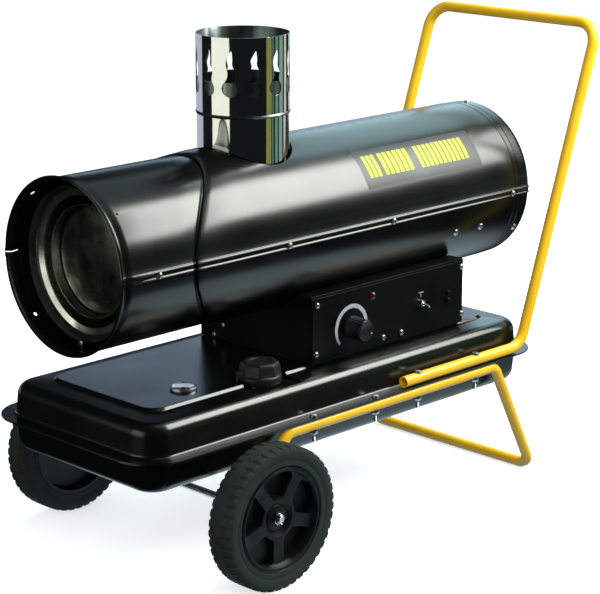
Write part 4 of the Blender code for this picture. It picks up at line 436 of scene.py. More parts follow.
def rounded(piece: Piece, width: float, segments: int = 2, angle: float = EDGE_ANGLE) -> Piece:
    """Round a piece's sharp edges.

    Args:
        piece: a mesh object.
        width: how far the rounding reaches from each edge.
        segments: how many facets it has.
        angle: the least angle in degrees that counts as an edge.

    Returns:
        The rounded piece.
    """
    step = piece.modifiers.new("edges", "BEVEL")
    step.width = width
    step.segments = segments
    step.limit_method = "ANGLE"
    step.angle_limit = math.radians(angle)
    step.harden_normals = False
    return applied(piece)


def flat_lit(piece: Piece, angle: float) -> Piece:
    """Shade a piece smooth, with its large flat faces lit flat up to their edges.

    Args:
        piece: a mesh object.
        angle: edges sharper than this, in degrees, stay sharp.

    Returns:
        The shaded piece.
    """
    piece.data.shade_smooth()
    piece.data.set_sharp_from_angle(angle=math.radians(angle))
    step = piece.modifiers.new("flat_faces", "WEIGHTED_NORMAL")
    step.keep_sharp = True
    return applied(piece)


def thickened(piece: Piece, wall: float, offset: float = -1.0) -> Piece:
    """Give an open surface a wall.

    Args:
        piece: the surface.
        wall: the wall's thickness.
        offset: -1 puts the wall inside the surface and 1 outside it.

    Returns:
        The closed piece.
    """
    step = piece.modifiers.new("wall", "SOLIDIFY")
    step.thickness = wall
    step.offset = offset
    return applied(piece)


def basis(direction: Vector) -> tuple[Vector, Vector, Vector]:
    """Find two unit vectors across a direction.

    Args:
        direction: a vector of any length but zero.

    Returns:
        The two vectors, and the direction as a unit vector.
    """
    along = Vector(direction).normalized()
    first = UP.cross(along)
    if first.length < 0.01:
        first = AHEAD.copy()
    first.normalize()
    return first, along.cross(first), along


def circle(steps: int) -> list[Pair]:
    """Return the cosines and sines of angles in equal steps once round."""
    return [(math.cos(math.tau * i / steps), math.sin(math.tau * i / steps)) for i in range(steps)]


def quads(work: bmesh.types.BMesh, rows: Sequence[Sequence[Vector]], around: bool = True,
          loop: bool = False) -> list[list[bmesh.types.BMVert]]:
    """Lay four-sided faces between rows that have the same number of points.

    Args:
        work: the bmesh that gets them.
        rows: the rows of points.
        around: joins each row's last point to its first.
        loop: joins the last row to the first.

    Returns:
        The rows of new mesh points.
    """
    grid = [[work.verts.new(point) for point in row] for row in rows]
    for first, second in zip(grid, grid[1:] + (grid[:1] if loop else [])):
        count = len(first)
        for i in range(count if around else count - 1):
            j = (i + 1) % count
            work.faces.new((first[i], first[j], second[j], second[i]))
    return grid


def revolve(name: str, profile: Sequence[Pair], origin: Vector, direction: Vector, steps: int = 96,
            closed: bool = False) -> Piece:
    """Turn a profile about a line.

    Args:
        name: the piece's name.
        profile: radius and height pairs. A radius of zero at an end closes it with a pole.
        origin: the point at height zero.
        direction: the line's direction.
        steps: how many facets go round.
        closed: joins the last pair to the first, as on a ring.

    Returns:
        The turned piece.
    """
    across, up, along = basis(direction)
    work = bmesh.new()
    rings = []
    for radius, height in profile:
        middle = origin + along * height
        spokes = [(0.0, 0.0)] if radius < POLE else circle(steps)
        rings.append([work.verts.new(middle + across * (radius * c) + up * (radius * s)) for c, s in spokes])
    pairs = list(zip(rings, rings[1:])) + ([(rings[-1], rings[0])] if closed else [])
    for first, second in pairs:
        for i in range(steps):
            j = (i + 1) % steps
            corners = [first[i % len(first)], first[j % len(first)], second[j % len(second)], second[i % len(second)]]
            unique = [v for place, v in enumerate(corners) if v not in corners[:place]]
            if len(unique) > 2:
                work.faces.new(unique)
    return make_object(name, work)


def rod(radius: float, low: float, high: float, origin: Vector, direction: Vector, steps: int) -> Piece:
    """Return a plain round bar between two heights on a line, for use as a drill."""
    return revolve("rod", [(0, low), (radius, low), (radius, high), (0, high)], origin, direction, steps)


def skin(name: str, rows: Sequence[Sequence[Vector]]) -> Piece:
    """Skin a stack of closed rows that have the same number of points, and close its ends.

    Args:
        name: the piece's name.
        rows: the rows of points.

    Returns:
        The skinned piece.
    """
    work = bmesh.new()
    grid = quads(work, rows)
    work.faces.new(grid[0])
    work.faces.new(grid[-1])
    return make_object(name, work)


def fluted(name: str, levels: Sequence[Triple], origin: Vector, direction: Vector, steps: int,
           reach: Callable[[float, float, float], float]) -> Piece:
    """Skin a stack of rings whose radius changes as it goes round.

    Args:
        name: the piece's name.
        levels: radius, height and depth of the fluting, from 0 to 1, of each ring.
        origin: the point at height zero.
        direction: the way up the stack.
        steps: how many facets go round.
        reach: gives the radius at an angle, from the ring's radius and depth and the angle.

    Returns:
        The stack, with closed ends.
    """
    across, up, along = basis(direction)
    rows = []
    for radius, height, depth in levels:
        radii = [reach(radius, depth, math.tau * i / steps) for i in range(steps)]
        rows.append([origin + across * (here * c) + up * (here * s) + along * height
                     for here, (c, s) in zip(radii, circle(steps))])
    return skin(name, rows)


def prism(name: str, outline: Sequence[Pair], low: float, high: float, place: Matrix) -> Piece:
    """Raise a closed outline into a solid between two heights, and place it."""
    rows = [[place @ Vector((x, y, height)) for x, y in outline] for height in (low, high)]
    return skin(name, rows)


def block(name: str, low: Vector, high: Vector) -> Piece:
    """Return a box between two corners."""
    outline = [(low.x, low.y), (high.x, low.y), (high.x, high.y), (low.x, high.y)]
    return prism(name, outline, low.z, high.z, Matrix.Identity(4))


def round_path(corners: Sequence[Vector], radii: Sequence[float], steps: int = 14) -> list[Vector]:
    """Return a path with its inner corners replaced by arcs.

    Args:
        corners: the path's corner points.
        radii: one radius for each inner corner.
        steps: how many pieces each arc has.

    Returns:
        The points of the rounded path.
    """
    points = [Vector(corners[0])]
    for before, corner, after, radius in zip(corners, corners[1:], corners[2:], radii):
        inward = (before - corner).normalized()
        outward = (after - corner).normalized()
        half = inward.angle(outward) / 2
        middle = corner + (inward + outward).normalized() * (radius / math.sin(half))
        first = corner + inward * (radius / math.tan(half)) - middle
        last = corner + outward * (radius / math.tan(half)) - middle
        points += [middle + first.slerp(last, step / steps).normalized() * radius for step in range(steps + 1)]
    return points + [Vector(corners[-1])]


def sweep(name: str, path: Sequence[Vector], radius: float, sides: int = 32) -> Piece:
    """Run a round bar along a path without twist.

    Args:
        name: the piece's name.
        path: the centre line.
        radius: the bar's radius.
        sides: how many facets go round.

    Returns:
        The bar, with closed ends.
    """
    tangents = []
    for i, point in enumerate(path):
        before = path[max(i - 1, 0)]
        after = path[min(i + 1, len(path) - 1)]
        tangents.append((after - before).normalized())
    across = basis(tangents[0])[0]
    rows = []
    for point, tangent in zip(path, tangents):
        across = (across - tangent * across.dot(tangent)).normalized()
        up = tangent.cross(across)
        rows.append([point + across * (radius * c) + up * (radius * s) for c, s in circle(sides)])
    return skin(name, rows)


def dress(piece: Piece, finish: Finish, body: Body, replaces: Iterable[str] = (),
          angle: float = EDGE_ANGLE) -> Piece:
    """Give a finished piece its material, shading and body, and hide the frame's nodes that it stands for.

    Args:
        piece: a plain mesh object at the origin.
        finish: its finish, used where the mesh has no material yet.
        body: the body that it moves with.
        replaces: the frame's nodes that it stands for.
        angle: edges sharper than this, in degrees, stay sharp; 0 leaves the shading as it is.

    Returns:
        The same piece.
    """
    if not piece.data.materials:
        piece.data.materials.append(finish.material())
    if angle:
        piece.data.shade_smooth()
        piece.data.set_sharp_from_angle(angle=math.radians(angle))
    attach(piece, body.value)
    if replaces:
        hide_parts(*replaces)
    LOG.info("%s rides on %s with %d faces", piece.name, body.value, len(piece.data.polygons))
    return piece


def copied(node: str, name: str) -> Piece:
    """Copy a frame node's mesh, to be refined.

    Args:
        node: the node's name.
        name: the copy's name.

    Returns:
        The copy, with its loose triangles merged.
    """
    mesh = frame["nodes"][node].data.copy()
    work = bmesh.new()
    work.from_mesh(mesh)
    bmesh.ops.remove_doubles(work, verts=work.verts, dist=0.01 * MM)
    bmesh.ops.dissolve_limit(work, angle_limit=math.radians(1), verts=work.verts, edges=work.edges)
    work.to_mesh(mesh)
    work.free()
    mesh.materials.clear()
    mesh.name = name
    return linked(name, mesh)


def scatter(name: str, template: Piece, places: Sequence[tuple[Vector, Vector]],
            finish: Finish) -> Piece:
    """Set a copy of a small piece on each place with Geometry Nodes, and return them as one plain mesh.

    Args:
        name: the piece's name.
        template: the repeated shape, standing on the origin along +Z. It is used up.
        places: where each copy stands and which way it points.
        finish: the finish of all the copies.

    Returns:
        One mesh object that holds every copy.
    """
    mesh = bpy.data.meshes.new(name)
    mesh.from_pydata([spot for spot, _ in places], [], [])
    facing = mesh.attributes.new("facing", "FLOAT_VECTOR", "POINT")
    facing.data.foreach_set("vector", [value for _, way in places for value in way])
    holder = linked(name, mesh)
    tree = bpy.data.node_groups.new(name + "_nodes", "GeometryNodeTree")
    tree.interface.new_socket("Geometry", in_out="INPUT", socket_type="NodeSocketGeometry")
    shape = tree.interface.new_socket("Shape", in_out="INPUT", socket_type="NodeSocketObject")
    skinned = tree.interface.new_socket("Finish", in_out="INPUT", socket_type="NodeSocketMaterial")
    tree.interface.new_socket("Geometry", in_out="OUTPUT", socket_type="NodeSocketGeometry")
    given = add_node(tree, "NodeGroupInput")
    way = add_node(tree, "GeometryNodeInputNamedAttribute", {"Name": "facing"}, data_type="FLOAT_VECTOR")
    turn = add_node(tree, "FunctionNodeAlignRotationToVector", {"Vector": way.outputs["Attribute"]}, axis="Z")
    piece = add_node(tree, "GeometryNodeObjectInfo", {"Object": given.outputs["Shape"]}, transform_space="ORIGINAL")
    copies = add_node(tree, "GeometryNodeInstanceOnPoints", {
        "Points": given.outputs["Geometry"], "Instance": piece.outputs["Geometry"],
        "Rotation": turn.outputs["Rotation"]})
    real = add_node(tree, "GeometryNodeRealizeInstances", {"Geometry": copies.outputs["Instances"]})
    coated = add_node(tree, "GeometryNodeSetMaterial", {
        "Geometry": real.outputs["Geometry"], "Material": given.outputs["Finish"]})
    add_node(tree, "NodeGroupOutput", {"Geometry": coated.outputs["Geometry"]})
    step = holder.modifiers.new("scatter", "NODES")
    step.node_group = tree
    step[shape.identifier] = template
    step[skinned.identifier] = finish.material()
    made = applied(holder)
    bpy.data.objects.remove(template, do_unlink=True)
    return made


def screw_head(radius: float, height: float, stem: float) -> Piece:
    """Return a domed screw head with a driver's recess, which stands on the origin along +Z.

    Args:
        radius: the head's radius.
        height: the head's height.
        stem: the length of shank below the head.

    Returns:
        The head as a plain mesh.
    """
    foot = [(0.0, -stem), (radius * 0.5, -stem), (radius * 0.5, 0.0)]
    dome = [(radius, 0.0), (radius, height * 0.35), (radius * 0.86, height * 0.75), (radius * 0.6, height * 0.97)]
    recess = [(radius * 0.42, height), (radius * 0.36, height * 0.55), (0.0, height * 0.5)]
    head = revolve("screw_head", foot + dome + recess, HOME, UP, 16)
    head.data.shade_smooth()
    return head


# Sub-assemblies


@dataclass
class SubAssembly:
    """A group of pieces that are built and reported together."""

    name: str
    pieces: list[Piece] = field(default_factory=list)

    def keep(self, piece: Piece, finish: Finish, body: Body, slot: str = "",
             replaces: Iterable[str] = (), angle: float = EDGE_ANGLE) -> Piece:
        """Dress one piece and count it in this sub-assembly.

        Args:
            piece: a plain mesh object at the origin.
            finish: its finish.
            body: the body that it moves with.
            slot: the record's material slot; not used.
            replaces: the frame's nodes that it stands for.
            angle: edges sharper than this, in degrees, stay sharp.

        Returns:
            The same piece.
        """
        self.pieces.append(dress(piece, finish, body, replaces, angle))
        return piece

    def refine(self, node: str, finish: Finish, body: Body, slot: str, width: float, segments: int = 2) -> Piece:
        """Keep a copy of a frame node with its edges rounded and its flat faces lit flat."""
        piece = flat_lit(rounded(copied(node, node + "_fine"), width, segments), EDGE_ANGLE)
        return self.keep(piece, finish, body, slot, (node,), 0)

    def refine_all(self, rows: Iterable[tuple[str, Finish, str, float]], body: Body = Body.HEATER) -> None:
        """Refine several nodes of one body, each with its finish, slot and rounding."""
        for node, finish, slot, width in rows:
            self.refine(node, finish, body, slot, width)

    def build(self) -> None:
        """Build every piece; each sub-assembly fills this in."""
        raise NotImplementedError

    def report(self) -> None:
        """Log how many pieces this sub-assembly holds."""
        LOG.info("%s: %d pieces", self.name, len(self.pieces))


@dataclass
class FuelTank(SubAssembly):
    """The two pressed halves of the tank, with the filler, the gauge and the drain plug.

    An inset is counted inward from the flange's edge, and an angle in a section from level inward.
    """

    front: float = -0.2083
    rear: float = 0.7165
    half_width: float = 0.199
    corner: float = 0.070
    least_corner: float = 0.028
    corner_steps: int = 14
    flange_sheet: float = 0.0015
    flange_gap: float = 0.0003
    lip: float = 0.0003
    root: float = 0.005
    wall: float = 0.0245
    draft: float = 0.0025
    sheet: float = 0.0012
    rim_top: float = 0.2818
    rim_fall: float = 6.0
    shoulder: float = 0.020
    plateau_top: float = 0.2865
    plateau_inset: float = 0.0715
    plateau_run: float = 0.0052
    bottom: float = 0.168
    belly: float = 0.022
    open_past: float = 0.004
    crease: float = 28.0
    filler: Pair = (0.101, -0.114)
    recess_radius: float = 0.047
    recess_floor: float = 0.277
    neck_hole: float = 0.0263
    neck_height: float = 0.2773
    cap_lift: float = 0.0018
    gauge: Pair = (-0.0267, -0.075)
    gauge_hole: float = 0.0125
    gauge_start: float = -65.0
    gauge_span: float = 125.0
    hose_hole: float = 0.0054
    below_sheet: float = 0.25
    above_sheet: float = 0.30

    def ring(self, inset: float, height: float) -> list[Vector]:
        """Draw one level of the rounded plan.

        Args:
            inset: how far it lies inside the flange's edge.
            height: its height.

        Returns:
            The points of the level.
        """
        radius = max(self.corner - inset, self.least_corner)
        half_x = (self.rear - self.front) / 2 - inset - radius
        half_y = self.half_width - inset - radius
        middle = at((self.rear + self.front) / 2, 0, height)
        ring = []
        for quarter, (side_x, side_y) in enumerate(((1, 1), (-1, 1), (-1, -1), (1, -1))):
            for step in range(self.corner_steps + 1):
                angle = math.pi / 2 * (quarter + step / self.corner_steps)
                ring.append(middle + Vector((side_x * half_x + radius * math.cos(angle),
                                             side_y * half_y + radius * math.sin(angle), 0)))
        return ring

    def solid(self, name: str, levels: Sequence[Pair]) -> Piece:
        """Return the solid over a list of inset and height pairs."""
        return skin(name, [self.ring(inset, height) for inset, height in levels])

    @staticmethod
    def arc(inset: float, height: float, radius: float, start: float, end: float, steps: int) -> list[Pair]:
        """Return inset and height pairs along an arc round a centre, between two angles in degrees."""
        turns = [math.radians(start + (end - start) * step / steps) for step in range(steps + 1)]
        return [(inset + radius * math.cos(turn), height + radius * math.sin(turn)) for turn in turns]

    def upper_levels(self, skin_inset: float) -> list[Pair]:
        """Draw the pressed top's section above the flange.

        Args:
            skin_inset: how far inside the outer face it runs.

        Returns:
            Inset and height pairs, from the wall to the plateau.
        """
        wall = self.wall + self.draft + skin_inset
        radius = self.shoulder - skin_inset
        top = self.rim_top - skin_inset
        start = self.plateau_inset + skin_inset
        fall = math.radians(self.rim_fall)
        crest = wall + radius * (1 - math.sin(fall))
        centre = top - (start - crest) * math.tan(fall) - radius * math.cos(fall)
        levels = self.arc(wall + radius, centre, radius, 180, 90 + self.rim_fall, 8)
        rise, steps = self.plateau_top - self.rim_top, 6
        for step in range(steps + 1):
            share = step / steps
            levels.append((start + self.plateau_run * share, top + rise * (1 - math.cos(math.pi * share)) / 2))
        return levels

    def recess(self, skin_inset: float) -> Piece:
        """Make the cutter of the filler recess, a slot with a round end that runs out of the near side.

        Args:
            skin_inset: how much further it cuts than the outer face.

        Returns:
            The cutter.
        """
        radius, floor, steps = self.recess_radius + skin_inset, self.recess_floor - skin_inset, 24
        past_side, above = -0.1, 0.01
        outline = [(-radius, past_side), (radius, past_side)]
        outline += [(radius * c, radius * s) for c, s in circle(2 * steps)[:steps + 1]]
        return prism("recess", outline, floor, self.plateau_top + above, Matrix.Translation(at(*self.filler, 0)))

    def build(self) -> None:
        """Build the tank's halves and fittings."""
        self.build_upper()
        self.build_lower()
        self.build_filler()
        self.build_gauge()
        self.refine("drain_plug", ZINC, Body.HEATER, "zinc", 0.0006)

    def build_upper(self) -> None:
        """Press the top from sheet: flange, walls, sloping rim and plateau, with the recess and three holes."""
        low = FLANGE_TOP - self.flange_sheet
        lip = [(self.lip, low), (0.0, low + self.flange_sheet / 2), (self.lip, FLANGE_TOP)]
        fillet = self.arc(self.wall - self.root, FLANGE_TOP + self.root, self.root, -90, 0, 4)
        upper = self.solid("tank_top_pressing", lip + fillet + self.upper_levels(0.0))
        upper = cut_by(upper, self.recess(0.0))
        mouth = (self.wall + self.sheet, low - self.open_past)
        inside = self.solid("inside", [mouth] + self.upper_levels(self.sheet))
        upper = cut_by(upper, cut_by(inside, self.recess(self.sheet)))
        holes = ((self.filler, self.neck_hole), (self.gauge, self.gauge_hole), (HOSE_PLACE, self.hose_hole))
        for place, radius in holes:
            upper = cut_by(upper, rod(radius, self.below_sheet, self.above_sheet, at(*place, 0), UP, 32))
        self.keep(flat_lit(upper, self.crease), ENAMEL, Body.HEATER, "gloss_black", ("tank_upper",), 0)

    def build_lower(self) -> None:
        """Press the bottom from sheet: flange, walls and a rounded belly."""
        top = FLANGE_TOP - self.flange_sheet - self.flange_gap
        low = top - self.flange_sheet
        lip = [(self.lip, top), (0.0, top - self.flange_sheet / 2), (self.lip, low)]
        fillet = self.arc(self.wall - self.root, low - self.root, self.root, 90, 0, 4)
        centre = (self.wall + self.draft + self.belly, self.bottom + self.belly)
        belly = self.arc(*centre, self.belly, 180, 270, 8)
        hollow = self.arc(*centre, self.belly - self.sheet, 180, 270, 6)
        lower = self.solid("tank_bottom_pressing", lip + fillet + belly)
        lower = cut_by(lower, self.solid("inside", [(self.wall + self.sheet, top + self.open_past)] + hollow))
        self.keep(flat_lit(lower, self.crease), ENAMEL, Body.HEATER, "gloss_black", ("tank_lower",), 0)

    @staticmethod
    def lobed(radius: float, depth: float, angle: float) -> float:
        """Find how far the cap's eight-sided grip reaches.

        Args:
            radius: the ring's radius.
            depth: how much of the eight-sided shape it has, from 0 to 1.
            angle: the angle round the cap.

        Returns:
            The radius at that angle.
        """
        half = math.pi / 8
        turn = (angle + half) % (2 * half) - half
        flat = math.cos(half) / math.cos(abs(turn) - half)
        return radius * (1 + 0.04 * depth) * (1 + (flat - 1) * depth)

    def build_filler(self) -> None:
        """Build the neck and the lobed cap over it."""
        foot = at(*self.filler, self.neck_height)
        neck = [(0.0245, 0.018), (0.026, 0.018), (0.026, 0.0015), (0.030, 0.0012), (0.030, 0), (0.026, 0),
                (0.026, -0.016), (0.0245, -0.016)]
        self.keep(revolve("neck_spinning", neck, foot, UP, 64, closed=True), ZINC, Body.HEATER, "zinc",
                  ("filler_neck",))
        levels = [(0.0266, 0.0165, 0.0), (0.0266, 0.0, 0.0), (0.0336, 0.0, 0.0), (0.0345, 0.001, 0.0),
                  (0.0345, 0.0105, 0.0), (0.0338, 0.0124, 0.0), (0.0326, 0.0132, 0.25), (0.0322, 0.0145, 0.9),
                  (0.0316, 0.020, 1.0), (0.0305, 0.0275, 1.0), (0.0298, 0.0305, 0.9), (0.0283, 0.0327, 0.75),
                  (0.0262, 0.0338, 0.55), (0.0225, 0.0340, 0.25), (0.0190, 0.0336, 0.0), (0.0178, 0.0322, 0.0),
                  (0.0165, 0.0318, 0.0), (0.0005, 0.0318, 0.0)]
        cap = fluted("cap_moulding", levels, foot + UP * self.cap_lift, UP, 160, self.lobed)
        self.keep(cap, NYLON, Body.CAP, "cap_plastic", ("filler_cap",), 50)

    def build_gauge(self) -> None:
        """Build the gauge's ring, window, dial and pointer."""
        base = at(*self.gauge, self.plateau_top + 0.0003)
        dial, mark_radius, marks = 0.0015, 0.0152, 9
        housing = [(0, dial), (0.0185, dial), (0.0185, 0.0041), (0.0193, 0.0047), (0.0207, 0.0045), (0.0213, 0.0036),
                   (0.0215, 0.0), (0.011, 0.0), (0.011, -0.052), (0, -0.052)]
        piece = revolve("gauge_casting", housing, base, UP, 64)
        slot = block("slot", base + Vector((-0.0025, -0.016, -0.056)), base + Vector((0.0025, 0.016, -0.038)))
        self.keep(cut_by(piece, slot), ALUMINIUM, Body.HEATER, "aluminium", ("gauge_housing",))
        lens = [(0, 0.0033), (0.0182, 0.0033), (0.0182, 0.0042), (0.0150, 0.0045), (0, 0.0046)]
        self.keep(revolve("gauge_window", lens, base, UP, 64), ACRYLIC, Body.HEATER, "clear_lens", ("gauge_lens",))
        disc = [(0.0022, 0.0), (0.0180, 0.0), (0.0180, PRINT), (0.0022, PRINT)]
        self.keep(revolve("gauge_dial", disc, base + UP * dial, UP, 48, closed=True), INK_WHITE, Body.HEATER)
        work = bmesh.new()
        for number in range(marks):
            angle = math.radians(self.gauge_start + self.gauge_span * number / (marks - 1))
            out = Vector((math.cos(angle), math.sin(angle), 0))
            spot, side = base + out * mark_radius + UP * (dial + PRINT), UP.cross(out)
            corners = [spot + out * a + side * b
                       for a, b in ((-0.002, -0.0004), (0.002, -0.0004), (0.002, 0.0004), (-0.002, 0.0004))]
            low = [work.verts.new(corner) for corner in corners]
            high = [work.verts.new(corner + UP * PRINT) for corner in corners]
            work.faces.new(low)
            work.faces.new(high)
            for i in range(4):
                work.faces.new((low[i], low[(i + 1) % 4], high[(i + 1) % 4], high[i]))
        self.keep(make_object("gauge_marks", work), RIM, Body.HEATER)
        self.refine("gauge_pointer", RED_POINTER, Body.POINTER, "red_plastic", 0.0002)
        self.refine("gauge_arm", ZINC, Body.FLOAT, "zinc", 0.0002)
        self.refine("gauge_float", FOAM, Body.FLOAT, "float_foam", 0.0015)


@dataclass
class Trolley(SubAssembly):
    """The bent yellow tubes, their bolts and the axle."""

    radius: float = 0.0095
    bore: float = 0.0078
    side: float = 0.190
    leg_height: float = 0.2149
    leg_bends: tuple[float, ...] = (0.024, 0.024, 0.026, 0.026, 0.024, 0.024)
    handle_height: float = 0.2378
    handle_bends: tuple[float, ...] = (0.038, 0.040, 0.040, 0.038)
    sides: int = 40
    bolt_places: tuple[float, ...] = (0.145, 0.288, 0.391, 0.538)
    past_axle: float = 0.014
    leg_bend_x: float = 0.087
    foot_bend_x: float = 0.5887
    foot_x: float = 0.6967
    handle_front: float = 0.3556
    handle_bend_x: float = 0.658
    grip: Pair = (0.849, 0.7827)
    bolt_hole: float = 0.0036
    bolt_gap: float = 0.0003
    axle_hole: float = 0.0062

    def mirrored(self, near: Sequence[Vector]) -> list[Vector]:
        """Return the near side's corners followed by their mirror images."""
        return list(near) + [Vector((point.x, -point.y, point.z)) for point in reversed(near)]

    def holed(self, tube: Piece, spots: Iterable[Pair]) -> Piece:
        """Drill a tube from top to bottom.

        Args:
            tube: the tube.
            spots: x and side, -1 or 1, of each hole.

        Returns:
            The drilled tube.
        """
        for x, side in spots:
            tube = cut_by(tube, rod(self.bolt_hole, 0.19, 0.26, at(x, side * self.side, 0), UP, 16))
        return tube

    def build(self) -> None:
        """Build the leg frame, the handle, the bolts and the axle."""
        places = [(x, side) for x in self.bolt_places for side in (-1, 1)]
        bend = at(self.leg_bend_x, -self.side, self.leg_height)
        axle = at(0, -self.side, WHEEL_RADIUS)
        start = axle + (axle - bend).normalized() * self.past_axle
        corners = self.mirrored([start, bend, at(self.foot_bend_x, -self.side, self.leg_height),
                                 at(self.foot_x, -self.side, self.radius)])
        leg = sweep("leg_frame_tube", round_path(corners, self.leg_bends), self.radius, self.sides)
        leg = cut_by(leg, rod(self.axle_hole, -0.21, 0.21, at(0, 0, WHEEL_RADIUS), ACROSS, 32))
        self.keep(self.holed(leg, places), POWDER_YELLOW, Body.HEATER, "yellow_paint", ("leg_frame",))
        end = at(self.handle_front, -self.side, self.handle_height)
        corners = self.mirrored([end, at(self.handle_bend_x, -self.side, self.handle_height),
                                 at(self.grip[0], -self.side, self.grip[1])])
        handle = sweep("handle_tube", round_path(corners, self.handle_bends), self.radius, self.sides)
        for side in (1, -1):
            handle = cut_by(handle, rod(self.bore, -0.01, 0.03, Vector((end.x, side * end.y, end.z)), AHEAD, 32))
        self.keep(self.holed(handle, places[4:]), POWDER_YELLOW, Body.HEATER, "yellow_paint", ("push_handle",))
        self.bolts("short", 1, places[:4], FLANGE_TOP)
        self.bolts("long", 5, places[4:], self.handle_height + self.radius)
        bar = [(0, -0.2651), (0.0048, -0.2651), (0.006, -0.2639), (0.006, 0.2639), (0.0048, 0.2651), (0, 0.2651)]
        self.keep(revolve("axle_rod", bar, at(0, 0, WHEEL_RADIUS), ACROSS, 32), ZINC, Body.HEATER, "zinc", ("axle",))

    def bolts(self, kind: str, first: int, spots: Sequence[Pair], top: float) -> None:
        """Set the four bolts of one length, each with its head, nut and thread end.

        Args:
            kind: a word for their names.
            first: the number of the first of the four in the frame.
            spots: x and side of each.
            top: the height that the heads sit on.
        """
        nut = self.leg_height - self.radius - self.bolt_gap - top
        pitch = 0.001
        thread = [(0.0024 + 0.0005 * (turn % 2), nut - 0.005 - turn * pitch / 2) for turn in range(26)]
        profile = [(0, 0.0040), (0.0030, 0.0040), (0.0052, 0.0031), (0.0064, 0.0012), (0.0065, 0.0003), (0.003, 0.0003),
                   (0.003, nut), (0.0062, nut), (0.0065, nut - 0.0006), (0.0065, nut - 0.0044), (0.0062, nut - 0.005)]
        shape = revolve("bolt", profile + thread + [(0, nut - 0.018)], HOME, UP, 18)
        shape.data.shade_smooth()
        ends = [(at(x, side * self.side, top), UP) for x, side in spots]
        names = ["frame_bolt_%d" % (first + number) for number in range(4)]
        self.keep(scatter(kind + "_frame_bolts", shape, ends, ZINC), ZINC, Body.HEATER, "zinc", names)


